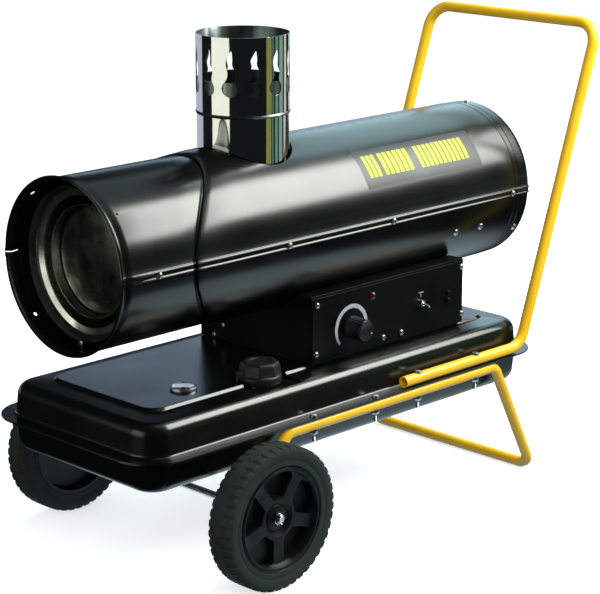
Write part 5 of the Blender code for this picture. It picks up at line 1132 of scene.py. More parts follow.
@dataclass
class Wheel(SubAssembly):
    """One wheel: a tyre with staggered shoulder slots, a five-spoke rim and a push-on hub nut."""

    side: int = -1
    radius: float = WHEEL_RADIUS
    outer_face: float = 0.2676
    width: float = 0.0465
    rim_radius: float = 0.084
    slots: int = 44
    steps_per_slot: int = 12
    slot_share: float = 0.30
    slot_depth: float = 0.0017
    pocket: float = 0.013
    pocket_reach: Pair = (0.0345, 0.0745)
    spokes: int = 5
    spoke_half: float = 0.0105
    first_spoke: float = 55.0
    hub_face: float = 0.2585
    hub_back: float = 0.2001
    bore: float = 0.0064

    def point(self, radius: float, angle: float, inset: float) -> Vector:
        """Return a point from its radius, angle and inset from the wheel's outer face."""
        side = self.side * (self.outer_face - inset)
        return at(radius * math.cos(angle), side, self.radius + radius * math.sin(angle))

    def tyre(self) -> Piece:
        """Mould the tyre, its shoulders cut by slots that alternate from side to side.

        Returns:
            The tyre.
        """
        crown, seat, steps = self.radius, self.rim_radius + 0.0006, self.steps_per_slot
        inner = [(seat, 0.0022), (seat + 0.0006, 0.0012), (0.0895, 0.0006), (0.0935, 0.0012), (0.0945, 0.0006),
                 (0.1065, 0.0), (0.1078, 0.0004)]
        outer = [(0.1118, 0.0012), (0.1133, 0.0022), (crown - 0.0004, 0.0040), (crown - 0.0003, 0.0090),
                 (crown - 0.0002, 0.0138), (crown - 0.0001, 0.0146), (crown, self.width / 2)]
        cut, chamfered = 5, 2
        rows = []
        for step in range(self.slots * steps):
            angle = math.tau * step / (self.slots * steps) - math.pi / 2
            row = []
            for flip in (0, 1):
                phase = ((step + flip * steps / 2) % steps) / steps
                deep = self.slot_depth if phase < self.slot_share else 0.0
                flank = inner + [(radius - (deep if number < cut else 0.0),
                                  inset + (0.0006 if deep and number < chamfered else 0.0))
                                 for number, (radius, inset) in enumerate(outer)]
                if flip:
                    flank = [(radius, self.width - inset) for radius, inset in reversed(flank[:-1])]
                row += [self.point(radius, angle, inset) for radius, inset in flank]
            rows.append(row)
        work = bmesh.new()
        quads(work, rows, loop=True)
        return make_object(self.name + "_tyre_moulding", work)

    def opening(self) -> list[Pair]:
        """Draw the pocket between two spokes, a wedge with well rounded corners.

        Returns:
            Its closed outline, about the middle of the wheel.
        """
        sector = math.tau / self.spokes
        inner, outer = self.pocket_reach

        def corner(radius: float, way: int) -> Vector:
            """Return where a circle meets the flank of a spoke."""
            angle = way * (sector / 2 - math.asin(self.spoke_half / radius))
            return Vector((radius * math.cos(angle), radius * math.sin(angle), 0))

        crown = [Vector((outer * math.cos(sector * share), outer * math.sin(sector * share), 0))
                 for share in (-0.18, -0.09, 0.0, 0.09, 0.18)]
        start, high = Vector((inner, 0, 0)), outer * 0.985
        path = [start, corner(inner, -1), corner(high, -1)] + crown + [corner(high, 1), corner(inner, 1), start]
        radii = [0.006, 0.0075] + [0.02] * len(crown) + [0.0075, 0.006]
        return [(point.x, point.y) for point in round_path(path, radii, 6)[:-1]]

    def rim(self) -> Piece:
        """Mould the rim with its dished web, pockets, hub and raised bead.

        Returns:
            The rim.
        """
        middle = self.outer_face - self.width / 2
        half = (self.width - 0.003) / 2
        hub, back, bore = self.hub_face - middle, self.hub_back - middle, self.bore
        face = half - 0.009
        profile = [(bore, hub), (0.0098, hub), (0.0105, hub - 0.0006), (0.0108, hub - 0.003), (0.0190, hub - 0.0034),
                   (0.0203, hub - 0.0042), (0.0220, hub - 0.0058), (0.0290, face + 0.0012), (0.0560, face),
                   (0.0700, face + 0.0004), (0.0735, face + 0.0020), (0.0758, half - 0.0022), (0.0768, half - 0.0006),
                   (0.0782, half), (0.0800, half - 0.0002), (0.0806, half - 0.0012), (0.0822, half - 0.0012),
                   (0.0828, half), (self.rim_radius, half - 0.0004), (self.rim_radius, -half), (0.078, -half),
                   (0.074, face - 0.018), (0.021, face - 0.018), (0.017, back), (bore, back)]
        origin = at(0, self.side * middle, self.radius)
        rim = revolve(self.name + "_rim_moulding", profile, origin, self.side * ACROSS, 120, closed=True)
        floor, past = face - self.pocket, 0.03
        span = (floor, past) if self.side < 0 else (-past, -floor)
        for number in range(self.spokes):
            turn = math.radians(self.first_spoke) + math.tau * (number + 0.5) / self.spokes
            place = Matrix.Translation(origin) @ Matrix.Rotation(-turn, 4, "Y") @ Matrix.Rotation(math.pi / 2, 4, "X")
            rim = cut_by(rim, prism("pocket", self.opening(), *span, place))
        return rounded(rim, 0.0011, 2, TURNED_ANGLE)

    def build(self) -> None:
        """Build the tyre, the rim and the nut."""
        body, word = (Body.WHEEL_NEAR, "near") if self.side < 0 else (Body.WHEEL_FAR, "far")
        self.keep(self.tyre(), TYRE, body, "tyre", ("tyre_" + word,), 30)
        self.keep(self.rim(), RIM, body, "rim_plastic", ("rim_" + word,), TURNED_ANGLE)
        nut = [(self.bore, 0.0), (0.0095, 0.0), (0.0095, 0.0008), (0.0086, 0.0011), (0.0084, 0.0036), (0.0076, 0.0052),
               (0.0068, 0.0060), (self.bore, 0.0056)]
        seat = at(0, self.side * (self.hub_face + 0.0003), self.radius)
        self.keep(revolve(self.name + "_push_nut", nut, seat, self.side * ACROSS, 48, closed=True), NICKEL, body,
                  "bright_steel", ("hub_nut_" + word,), 50)


@dataclass
class AirTube(SubAssembly):
    """The four rolled shells, their screws and slots, and the film on the main shell."""

    height: float = TUBE_HEIGHT
    front_radius: float = 0.135
    main_radius: float = 0.1375
    crown: float = 0.0025
    front: float = -0.2007
    rear: float = 0.7399
    joint_at_seam: float = -0.0513
    joint_swing: float = 0.1034
    tongue: float = 0.0025
    sheet: float = 0.001
    lap: float = 0.0016
    flue_port: float = 0.0785
    hose_port: float = 0.0065
    film_patch: tuple[float, float, float, float] = (0.337, 0.622, 24.0, 53.5)
    film_lift: float = 0.00012
    bar_angles: Pair = (31.5, 48.5)
    bar_lift: float = 0.00024
    bar_ink: float = 0.00006
    rows: int = 56
    crease: float = 32.0

    def on(self, x: float, degrees: float, lift: float = 0.0, crown: bool = True) -> tuple[Vector, Vector]:
        """Return a point on the near side of the main shell and the way out of it.

        Args:
            x: distance from the axle.
            degrees: height angle, with 0 at the near seam and 90 at the top.
            lift: distance above the sheet.
            crown: adds the upper shell's slight rise.

        Returns:
            The point and the outward direction.
        """
        turn = math.radians(degrees)
        radius = self.main_radius + lift + (self.crown * math.sin(turn) ** 2 if crown and degrees > 0 else 0.0)
        out = Vector((0, -math.cos(turn), math.sin(turn)))
        return at(x, 0, self.height) + out * radius, out

    def joint(self, angle: float) -> float:
        """Return where the front and main shells meet at an angle."""
        return self.joint_at_seam + self.joint_swing * math.sin(angle) ** 2

    def front_stations(self, angle: float, crown: float) -> list[Station]:
        """Draw the line of a front shell: the rolled lip, the barrel and the tongue under the main shell.

        Args:
            angle: the row's angle, counted from the near seam.
            crown: the rise of the main shell, which a front shell doesn't have.

        Returns:
            X, radius and layer; layer 1 makes way at the seam and 2 is the tongue.
        """
        lip, full = self.front, self.front_radius
        joint = self.joint(angle)
        low = full - self.tongue
        roll = [(0.0, 0.1362), (0.0004, 0.1378), (0.0014, 0.1388), (0.0024, 0.1390), (0.0036, 0.1384), (0.0050, 0.1364),
                (0.0068, 0.1340), (0.0090, 0.1327), (0.0112, 0.1325), (0.0140, 0.1330), (0.0175, 0.1340),
                (0.0215, 0.1348), (0.0250, full)]
        line = [(lip + x, radius, 0) for x, radius in roll]
        span = joint - 0.0085 - (lip + 0.025)
        line += [(lip + 0.025 + span * share, full, 0) for share in (0.25, 0.5, 0.75, 1.0)]
        return line + [(joint - 0.0068, full - 0.0003, 0), (joint - 0.0050, full - 0.0012, 0),
                       (joint - 0.0032, low + 0.0003, 0), (joint - 0.0012, low, 1), (joint - 0.0004, low, 2),
                       (joint + 0.014, low, 2)]

    def main_stations(self, angle: float, crown: float) -> list[Station]:
        """Draw the line of a main shell: the rounded front edge, the barrel and the grooves at the rear.

        Args:
            angle: the row's angle, counted from the near seam.
            crown: how much an upper shell rises at the top.

        Returns:
            X, radius and layer.
        """
        joint, front = self.joint(angle), self.front_radius
        full = self.main_radius + crown * math.sin(angle) ** 2
        edge = front - self.tongue + self.sheet + 0.0006
        rise = full - front
        line = [(joint + 0.0003, edge), (joint + 0.0006, edge + 0.0006), (joint + 0.0014, edge + 0.0011),
                (joint + 0.0026, front + rise * 0.22), (joint + 0.0045, front + rise * 0.42)]
        line += [(joint + 0.0045 + 0.056 * share, front + rise * (0.42 + 0.58 * math.sin(math.pi / 2 * share)))
                 for share in (0.2, 0.4, 0.6, 0.8, 1.0)]
        drops = [(0.2, 0), (0.3, 0), (0.4, 0), (0.5, 0), (0.6, 0), (0.6959, 0), (0.6986, 0), (0.6993, 0.0010),
                 (0.7003, 0.0010), (0.7010, 0.0002), (0.7118, 0.0004), (0.7125, 0.0014), (0.7135, 0.0014),
                 (0.7142, 0.0006), (0.7290, 0.0010), (0.7335, 0.0013), (0.7368, 0.0022), (0.7388, 0.0036),
                 (self.rear, 0.0052)]
        return [(x, radius, 0) for x, radius in line + [(x, full - drop) for x, drop in drops]]

    def seam(self, upper: bool) -> list[Triple]:
        """Set out the lengthwise rows of a half shell from seam to seam.

        Args:
            upper: picks the upper half, whose edge is rolled over the lower one's.

        Returns:
            Angle, lift and tongue angle of each row.
        """
        rows = [(math.pi * row / self.rows, 0.0, math.pi * row / self.rows) for row in range(3, self.rows - 2)]
        if upper:
            heights = ((-0.0066, 0.0012), (-0.0064, 0.0019), (-0.0058, 0.0025), (-0.0050, 0.0027), (-0.0042, 0.0024),
                       (-0.0036, 0.0017), (-0.0030, 0.0012), (0.0024, 0.0012), (0.0030, 0.0016), (0.0037, 0.0023),
                       (0.0045, 0.0025), (0.0053, 0.0021), (0.0060, 0.0012), (0.0066, 0.0004), (0.0072, 0.0))
            edge = [(math.asin(height / self.main_radius), lift, math.asin((number + 1) * 0.0004 / self.main_radius))
                    for number, (height, lift) in enumerate(heights)]
        else:
            edge = [(math.asin(height / self.main_radius), 0.0, math.asin((height + 0.0078) / self.main_radius))
                    for height in (0.0, 0.0015, 0.003, 0.0045)]
        far = [(math.pi - angle, lift, math.pi - tongue) for angle, lift, tongue in reversed(edge)]
        return edge + rows + far

    def shell(self, name: str, stations: Callable[[float, float], list[Station]], upper: bool) -> Piece:
        """Return one half shell with its wall.

        Args:
            name: the piece's name.
            stations: gives x, radius and layer along the shell at an angle.
            upper: picks the upper half.

        Returns:
            The shell.
        """
        side = 1 if upper else -1
        lip_end, lap = self.front + 0.026, 0.0012
        rows = []
        for angle, lift, tongue in self.seam(upper):
            row = []
            for x, radius, layer in stations(angle, self.crown if upper else 0.0):
                under = layer >= (2 if upper else 1)
                turn = tongue if under else angle
                reach = radius if under else radius + (lift if x > lip_end else min(lift, lap))
                row.append(at(x, -reach * math.cos(turn), self.height + side * reach * math.sin(turn)))
            rows.append(row)
        work = bmesh.new()
        quads(work, rows, around=False)
        bmesh.ops.recalc_face_normals(work, faces=work.faces)
        crown = max(work.faces, key=lambda face: side * face.calc_center_median().z)
        if crown.normal.z * side < 0:
            bmesh.ops.reverse_faces(work, faces=work.faces)
        return thickened(make_object(name, work, outward=False), self.sheet)

    def pierced(self, piece: Piece, holes: Sequence[tuple[float, float, float, bool]]) -> Piece:
        """Drill small holes through a shell.

        Args:
            piece: the shell.
            holes: x, height angle in degrees, radius, and whether the hole is on the upper shell.

        Returns:
            The drilled shell.
        """
        for x, degrees, radius, crown in holes:
            piece = cut_by(piece, rod(radius, -0.012, 0.006, *self.on(x, degrees, 0.0, crown), 14))
        return piece

    def build(self) -> None:
        """Build the shells, the screws, the slots and the film."""
        upper = self.shell("front_shell_upper", self.front_stations, True)
        upper = self.pierced(upper, [(-0.1726, 43.7, 0.0024, True), (-0.1783, 134.2, 0.0042, True)])
        self.keep(self.slit(upper), ENAMEL, Body.HEATER, "gloss_black", ("shell_front_upper",), self.crease)
        lower = self.shell("front_shell_lower", self.front_stations, False)
        lower = self.pierced(lower, [(-0.168, -48.3, 0.0022, False), (-0.1789, 225.1, 0.0034, False)])
        lower = self.slotted(self.slit(lower), (-0.083, -0.057))
        self.keep(lower, ENAMEL, Body.HEATER, "gloss_black", ("shell_front_lower",), self.crease)
        upper = self.shell("main_shell_upper", self.main_stations, True)
        upper = cut_by(upper, rod(self.flue_port, 0.52, 0.66, at(FLUE_X, 0, 0), UP, 96))
        self.keep(upper, ENAMEL, Body.HEATER, "gloss_black", ("shell_main_upper",), self.crease)
        lower = self.shell("main_shell_lower", self.main_stations, False)
        lower = cut_by(lower, rod(self.hose_port, 0.33, 0.42, at(*HOSE_PLACE, 0), UP, 24))
        lower = self.slotted(lower, (0.193, 0.222))
        self.keep(lower, ENAMEL, Body.HEATER, "gloss_black", ("shell_main_lower",), self.crease)
        self.screws()
        self.film()

    def side_cuts(self, piece: Piece, span: Pair, reach: Pair, heights: Pair) -> Piece:
        """Cut a flat opening through a shell on both sides.

        Args:
            piece: the shell.
            span: where it starts and ends along the tube.
            reach: how far out the cutter starts and ends.
            heights: its lower and upper side, from the tube's middle.

        Returns:
            The cut shell.
        """
        for side in (-1, 1):
            low, high = sorted((side * reach[0], side * reach[1]))
            piece = cut_by(piece, block("cut", at(span[0], low, self.height + heights[0]),
                                        at(span[1], high, self.height + heights[1])))
        return piece

    def slit(self, piece: Piece) -> Piece:
        """Open the seam behind the lip of a front shell, where the halves don't quite meet."""
        return self.side_cuts(piece, (self.front - 0.002, self.front + 0.0235), (0.1285, 0.1450), (-0.0009, 0.0008))

    def slotted(self, piece: Piece, span: Pair) -> Piece:
        """Cut a short slot through a lower shell just below the seam."""
        return self.side_cuts(piece, span, (0.1305, 0.1405), (-0.0125, -0.0109))

    def screws(self) -> None:
        """Set the seam screws, the motor bracket's screws and the top screw."""
        below = math.degrees(math.asin(-0.0014 / self.main_radius))
        seam = [(x, below, self.lap) for x in (-0.126, 0.142, 0.384, 0.691)]
        sides = [(0.552, -21.4, 0.0), (0.617, -21.5, 0.0), (0.721, -30.6, -0.001)]
        for name, rows, radius in (("seam_screws", seam, 0.0054), ("side_screws", sides, 0.0062)):
            places = []
            for x, degrees, lift in rows:
                shrink = self.front_radius - self.main_radius if x < 0 else 0.0
                places += [self.on(x, turn, lift + shrink, False) for turn in (degrees, 180 - degrees)]
            self.keep(scatter(name, screw_head(radius, 0.0030, 0.004), places, ZINC), ZINC, Body.HEATER)
        top = scatter("top_screw", screw_head(0.0045, 0.0028, 0.004), [self.on(0.725, 90, -0.001)], ZINC)
        self.keep(top, ZINC, Body.HEATER)

    def patch(self, name: str, spans: Sequence[tuple[float, float, float, float]], lift: float,
              thickness: float) -> Piece:
        """Lay thin patches that follow the main shell.

        Args:
            name: the piece's name.
            spans: first and last x, and low and high angle in degrees, of each patch.
            lift: how far their undersides lie above the sheet.
            thickness: their thickness.

        Returns:
            All the patches as one piece.
        """
        work = bmesh.new()
        for first, last, low, high in spans:
            across = max(int((high - low) / 1.5), 3)
            along = max(int((last - first) / 0.04), 1)
            stations = [first + (last - first) * i / along for i in range(along + 1)]
            angles = [low + (high - low) * j / across for j in range(across + 1)]
            grid = [[work.verts.new(self.on(x, degrees, lift)[0]) for degrees in angles] for x in stations]
            for one, two in zip(grid, grid[1:]):
                for j in range(across):
                    work.faces.new((one[j], two[j], two[j + 1], one[j + 1]))
        work.normal_update()
        return thickened(make_object(name, work, outward=False), thickness, 1.0)

    def film(self) -> None:
        """Lay the film on the near side, with a row of plain upright bars in three groups as its print."""
        self.keep(self.patch("shell_film", [self.film_patch], self.film_lift, PRINT), FILM, Body.HEATER)
        groups = ((0.350, 3, 0.0105, 0.0078), (0.388, 6, 0.0120, 0.0090), (0.476, 11, 0.0112, 0.0080))
        bars = [(start + pitch * i, start + pitch * i + width, *self.bar_angles)
                for start, count, pitch, width in groups for i in range(count)]
        self.keep(self.patch("film_bars", bars, self.bar_lift, self.bar_ink), INK_YELLOW, Body.HEATER)


@dataclass
class HeatExchanger(SubAssembly):
    """The stainless shield and drum that show in the outlet."""

    height: float = TUBE_HEIGHT
    front: float = -0.150
    rear: float = 0.352
    inside: float = 0.0865
    outside: float = 0.088
    shield_port: float = 0.0745
    drum_port: float = 0.062
    tab_front: float = -0.1696
    tab_half: float = 0.006
    tab_top: float = 0.1330

    def build(self) -> None:
        """Build the shield with its flared mouth and tabs, the drum and its front disc."""
        origin = at(0, 0, self.height)
        flare = [(0.1025, 0.400), (0.1025, -0.1490), (0.1030, -0.1515), (0.1045, -0.1530), (0.1120, -0.1545),
                 (0.1136, -0.1555), (0.1142, -0.1575), (0.1150, -0.1600), (0.1190, -0.1645), (0.1208, -0.1665),
                 (0.1212, -0.1678), (0.1206, -0.1684), (0.1199, -0.1676), (0.1182, -0.1654), (0.1140, -0.1608),
                 (0.1131, -0.1580), (0.1126, -0.1566), (0.1112, -0.1556), (0.1040, -0.1541), (0.1022, -0.1531),
                 (0.1016, -0.1512), (0.1015, -0.1490), (0.1015, 0.400)]
        shield = revolve("heat_shield_turning", flare, origin, AHEAD, 128, closed=True)
        shield = cut_by(shield, rod(self.shield_port, 0.50, 0.65, at(FLUE_X, 0, 0), UP, 96))
        self.keep(shield, HOT_STEEL, Body.HEATER, "hot_stainless", ("heat_shield",), TURNED_ANGLE)
        self.tabs()
        front, rear, inside, outside = self.front, self.rear, self.inside, self.outside
        barrel = [(inside, front + 0.0006), (inside + 0.0004, front + 0.0001), (0.0876, front),
                  (outside, front + 0.0005), (outside, rear), (0.0430, rear), (0.0430, rear - 0.0015),
                  (inside, rear - 0.0015)]
        drum = revolve("drum_barrel", barrel, origin, AHEAD, 128, closed=True)
        drum = cut_by(drum, rod(self.drum_port, 0.50, 0.65, at(FLUE_X, 0, 0), UP, 64))
        self.keep(drum, HOT_STEEL, Body.HEATER, "hot_stainless", ("combustion_drum",), TURNED_ANGLE)
        disc = [(0, -0.1362), (0.02, -0.1360), (0.045, -0.1350), (0.064, -0.1334), (0.0735, -0.1322), (0.0785, -0.1318),
                (0.0825, -0.1324), (0.0848, -0.1342), (0.0856, -0.1368), (0.0862, -0.1368), (0.0862, -0.126),
                (0.0850, -0.126), (0.0848, -0.1300), (0.0735, -0.1308), (0.045, -0.1336), (0, -0.1348)]
        self.keep(revolve("drum_end_pressing", disc, origin, AHEAD, 128), DRUM_END, Body.HEATER, "hot_stainless",
                  ("drum_front",), TURNED_ANGLE)

    def tabs(self) -> None:
        """Build the two bent tabs that hold the shield in the tube, each a plate and a foot."""
        plate, foot = (-0.168, 0.1206), (-0.158, 0.1316)
        sides = [(rear, start, side) for rear, start in (plate, foot) for side in (1, -1)]
        for number, (rear, start, side) in enumerate(sides):
            low, high = sorted((side * start, side * self.tab_top))
            tab = block("shield_tab_%d" % number, at(self.tab_front, -self.tab_half, self.height + low),
                        at(rear, self.tab_half, self.height + high))
            self.keep(rounded(tab, 0.0004), HOT_STEEL, Body.HEATER, "hot_stainless")


@dataclass
class Flue(SubAssembly):
    """The mirror-bright flue pipe and its cowl with flame-shaped cut-outs."""

    x: float = FLUE_X
    bead: float = 0.690
    bead_half: float = 0.0042
    spigot: float = 0.005
    top: float = 0.815
    radius: float = 0.075
    cope: float = 0.0884
    flames: int = 12
    base: float = 0.7215
    tall: float = 0.0735
    wide: float = 0.0265

    def flame(self) -> list[Pair]:
        """Draw one cut-out: a round bulb, a waist, a belly and a leaning tip.

        Returns:
            Its closed outline, from the foot of its left side.
        """
        left = [(-0.14, 0.015), (-0.34, 0.06), (-0.47, 0.13), (-0.50, 0.20), (-0.43, 0.27), (-0.30, 0.33),
                (-0.19, 0.385), (-0.125, 0.45), (-0.115, 0.52), (-0.16, 0.60), (-0.215, 0.68), (-0.225, 0.76),
                (-0.175, 0.83), (-0.07, 0.90), (0.04, 0.96), (0.13, 1.00)]
        right = [(0.155, 0.945), (0.175, 0.875), (0.185, 0.80), (0.165, 0.73), (0.19, 0.665), (0.27, 0.61),
                 (0.34, 0.55), (0.345, 0.48), (0.285, 0.42), (0.255, 0.36), (0.315, 0.305), (0.41, 0.255),
                 (0.48, 0.20), (0.49, 0.135), (0.42, 0.07), (0.26, 0.02), (0.05, 0.0)]
        return [(across * self.wide, up * self.tall) for across, up in left + right]

    def lined(self, piece: Piece) -> Piece:
        """Give a pipe its two finishes.

        Args:
            piece: the pipe or the cowl.

        Returns:
            The piece, bright outside and unpolished inside, on the rolled bead and on the spigot in the cowl.
        """
        piece.data.materials.clear()
        for finish in (MIRROR_STEEL, SHEET_BACK):
            piece.data.materials.append(finish.material())
        for face in piece.data.polygons:
            out = Vector((face.center.x - AXLE_X - self.x, face.center.y, 0)).normalized()
            inside = face.normal.dot(out) < -0.5
            spigot = piece.name.startswith("flue_pipe") and face.center.z > self.bead + self.spigot
            rolled = abs(face.center.z - self.bead) < self.bead_half
            face.material_index = int(inside or spigot or rolled)
        return piece

    def build(self) -> None:
        """Build the pipe and the cowl."""
        origin, bead, top = at(self.x, 0, 0), self.bead, self.top
        pipe = [(0.0735, 0.744), (0.0735, bead + 0.006), (0.0737, bead + 0.0042), (0.0752, bead + 0.0022),
                (0.0761, bead), (0.0752, bead - 0.0019), (0.0740, bead - 0.0030), (0.0740, 0.50), (0.0730, 0.50),
                (0.0730, bead - 0.0030), (0.0745, bead), (0.0727, bead + 0.0042), (0.0725, 0.744)]
        flue = revolve("flue_pipe_turning", pipe, origin, UP, 128, closed=True)
        flue = cut_by(flue, rod(self.cope, -0.09, 0.09, at(self.x, 0, TUBE_HEIGHT), AHEAD, 96))
        self.keep(self.lined(flue), MIRROR_STEEL, Body.HEATER, "stainless", ("flue_pipe",), TURNED_ANGLE)
        low = bead + 0.0025
        sleeve = [(0.0742, low), (self.radius, low + 0.0002), (self.radius, top - 0.0002), (0.0748, top),
                  (0.0743, top), (0.0742, top - 0.0002)]
        cowl = revolve("cowl_sleeve", sleeve, origin, UP, 180, closed=True)
        for number in range(self.flames):
            angle = math.tau * number / self.flames
            out = Vector((math.cos(angle), math.sin(angle), 0))
            place = Matrix.Translation(at(self.x, 0, self.base) + out * self.radius) @ \
                Matrix.Rotation(angle + math.pi / 2, 4, "Z") @ Matrix.Rotation(math.pi / 2, 4, "X")
            cowl = cut_by(cowl, prism("flame", self.flame(), -0.02, 0.02, place))
        self.keep(self.lined(cowl), MIRROR_STEEL, Body.HEATER, "stainless", ("flue_cowl",), 30)


@dataclass
class BurnerTrain(SubAssembly):
    """Burner, pump, motor, fan and guard inside the rear of the tube."""

    def build(self) -> None:
        """Round the edges of each inner piece and give it its own finish."""
        self.refine_all((
            ("burner_tube", MACHINE_GREY, "grey_paint", 0.0004), ("flame_disc", HOT_STEEL, "hot_stainless", 0.0002),
            ("nozzle_holder", BRASS, "brass", 0.0005), ("ignition_electrodes", CERAMIC, "ceramic", 0.0004),
            ("photocell", NYLON, "cap_plastic", 0.0006), ("fuel_pump", ALUMINIUM, "aluminium", 0.0010),
            ("suction_hose", HOSE, "rubber", 0.0003), ("fuel_pickup", BRASS, "brass", 0.0006),
            ("fan_motor", MACHINE_GREY, "grey_paint", 0.0012), ("motor_bracket", ZINC, "zinc", 0.0003),
            ("rear_guard", ZINC, "zinc", 0.0005)))
        self.refine_all((("motor_shaft", ZINC, "zinc", 0.0006), ("pump_coupling", NYLON, "cap_plastic", 0.0010),
                         ("axial_fan", ALUMINIUM, "aluminium", 0.0004)), Body.ROTOR)


@dataclass
class ControlBox(SubAssembly):
    """The folded box, its drilled panel, the controls on it and the parts behind it."""

    face: float = -0.1323
    side_face: float = 0.199
    knob: Pair = (0.291, 0.334)
    knob_end: float = 0.0339
    grooves: int = 18
    groove: float = 0.0009
    dot_angle: float = -28.0
    dot_reach: float = 0.0138
    lamp: Pair = (0.3405, 0.377)
    switch: Pair = (0.4611, 0.3418)
    stud: float = 0.5295

    def build(self) -> None:
        """Build the box, the panel with its print and screws, the controls and the parts inside."""
        self.refine_all((("control_box", POWDER_BLACK, "satin_black", 0.0009),
                         ("control_panel", POWDER_BLACK, "satin_black", 0.0003)))
        places = ((0.211, 0.385), (0.564, 0.3865), (0.566, 0.303), (0.2085, 0.3036), (0.368, 0.300), (0.412, 0.300))
        heads = [(at(x, self.face, z), -ACROSS) for x, z in places]
        heads += [(at(self.side_face, y, z), -AHEAD) for y, z in ((0.0738, 0.3136), (0.0964, 0.293))]
        self.keep(scatter("panel_screws", screw_head(0.0050, 0.0030, 0.003), heads, ZINC), ZINC, Body.HEATER)
        fittings = [(at(self.stud, self.face, z), -ACROSS) for z in (0.3469, 0.3339)]
        stud = [(0, -0.002), (0.0042, -0.002), (0.0042, 0.0035), (0.0034, 0.0046), (0.0018, 0.0050), (0.0015, 0.0022),
                (0, 0.0022)]
        shape = revolve("stud", stud, HOME, UP, 20)
        shape.data.shade_smooth()
        self.keep(scatter("panel_studs", shape, fittings, RIM), RIM, Body.HEATER)
        self.build_dial()
        self.build_knob()
        lens = [(0, 0.0052), (0.0025, 0.0050), (0.0046, 0.0041), (0.0060, 0.0026), (0.0064, 0.0014), (0.0070, 0.0012),
                (0.0071, 0.0003), (0.0055, 0.0003), (0.0055, -0.020), (0, -0.020)]
        lamp = revolve("lamp_lens", lens, at(self.lamp[0], self.face, self.lamp[1]), -ACROSS, 40)
        self.keep(lamp, RED_LENS, Body.HEATER, "red_plastic", ("indicator_lamp",))
        self.refine("switch_body", ZINC, Body.HEATER, "zinc", 0.0004)
        self.refine("switch_lever", NICKEL, Body.LEVER, "bright_steel", 0.0005, 3)
        self.refine_all((("thermostat", ALUMINIUM, "aluminium", 0.0006),
                         ("control_board", BOARD, "board_green", 0.0002),
                         ("ignition_transformer", MACHINE_GREY, "grey_paint", 0.0006),
                         ("cable_gland", NYLON, "cap_plastic", 0.0006)))

    def build_dial(self) -> None:
        """Print the arc round the knob and the plain marks above the switch."""
        work = bmesh.new()
        x, z = self.knob
        low, high, first, sweep_angle = 0.0315, 0.0385, 222, 250
        steps, taper = 60, 14

        def plate_of(points: Sequence[Vector]) -> None:
            """Raise a strip of paired points into a thin print.

            Args:
                points: the lower and the upper point of each pair in turn.
            """
            back = [[work.verts.new(point + Vector((0, lift, 0))) for point in points] for lift in (0.0, -PRINT)]
            for i in range(0, len(points) - 2, 2):
                a, b, c, d = i, i + 1, i + 3, i + 2
                work.faces.new([back[1][k] for k in (a, b, c, d)])
                work.faces.new([back[0][k] for k in (d, c, b, a)])
                for one, two in ((b, c), (d, a)):
                    work.faces.new((back[1][one], back[0][one], back[0][two], back[1][two]))
            for one, two in ((0, 1), (len(points) - 1, len(points) - 2)):
                work.faces.new((back[1][one], back[0][one], back[0][two], back[1][two]))

        strip = []
        for step in range(steps + 1):
            angle = math.radians(first - sweep_angle * step / steps)
            thin = low + (high - low) * 0.35 * max(0.0, 1 - step / taper)
            strip += [at(x + radius * math.cos(angle), self.face, z + radius * math.sin(angle))
                      for radius in (thin, high)]
        plate_of(strip)
        sx, sz = self.switch
        for half, foot, head in ((0.006, 0.0175, 0.0189), (0.0007, 0.0105, 0.0155)):
            plate_of([at(sx + side * half, self.face, sz + height) for side in (-1, 1) for height in (foot, head)])
        self.keep(make_object("panel_print", work), INK_GREY, Body.HEATER)

    def gripped(self, radius: float, depth: float, angle: float) -> float:
        """Return the knob's radius at an angle, less the depth of its grooves."""
        groove = max(0.0, math.cos(self.grooves * angle)) ** 2
        return radius - self.groove * depth * groove

    def build_knob(self) -> None:
        """Build the long fluted knob, its spindle and the dot on its end."""
        x, z = self.knob
        levels = [(0.003, -0.020, 0.0), (0.003, 0.0012, 0.0), (0.0184, 0.0012, 0.0), (0.0190, 0.0018, 0.0),
                  (0.0190, 0.0040, 0.0), (0.0186, 0.0046, 0.7), (0.0182, 0.0180, 1.0), (0.0177, 0.0300, 1.0),
                  (0.0174, 0.0322, 0.7), (0.0166, 0.0336, 0.2), (0.0150, 0.0342, 0.0), (0.0136, 0.0339, 0.0),
                  (0.0126, 0.0334, 0.0), (0.0004, 0.0334, 0.0)]
        knob = fluted("knob_moulding", levels, at(x, self.face, z), -ACROSS, 144, self.gripped)
        self.keep(knob, PHENOLIC, Body.KNOB, "rim_plastic", ("thermostat_knob",), 45)
        turn, reach = math.radians(self.dot_angle), self.dot_reach
        spot = at(x + reach * math.cos(turn), self.face - self.knob_end, z + reach * math.sin(turn))
        dot = [(0, -0.0005), (0.0012, -0.0005), (0.0012, 0.0004), (0.0007, 0.0007), (0, 0.0008)]
        self.keep(revolve("knob_dot", dot, spot, -ACROSS, 16), INK_WHITE, Body.KNOB)


# Studio


@dataclass(frozen=True)
class SoftBox:
    """One soft light: where it hangs, the point that it faces, its power in watts, its size and its tint."""

    name: str
    place: Triple
    target: Triple
    power: float
    size: Pair
    tint: str

    def hang(self) -> Piece:
        """Add the light to the scene, with its width level and out of the camera's sight.

        Returns:
            The light.
        """
        data = bpy.data.lights.new(self.name, "AREA")
        data.shape = "RECTANGLE"
        data.size, data.size_y = self.size
        data.energy = self.power
        data.color = linear(self.tint)[:3]
        back = (Vector(self.place) - Vector(self.target)).normalized()
        across = UP.cross(back).normalized()
        lamp = linked(self.name, data)
        lamp.visible_camera = False
        turn = Matrix((across, back.cross(across), back)).transposed()
        lamp.matrix_world = Matrix.Translation(self.place) @ turn.to_4x4()
        return lamp


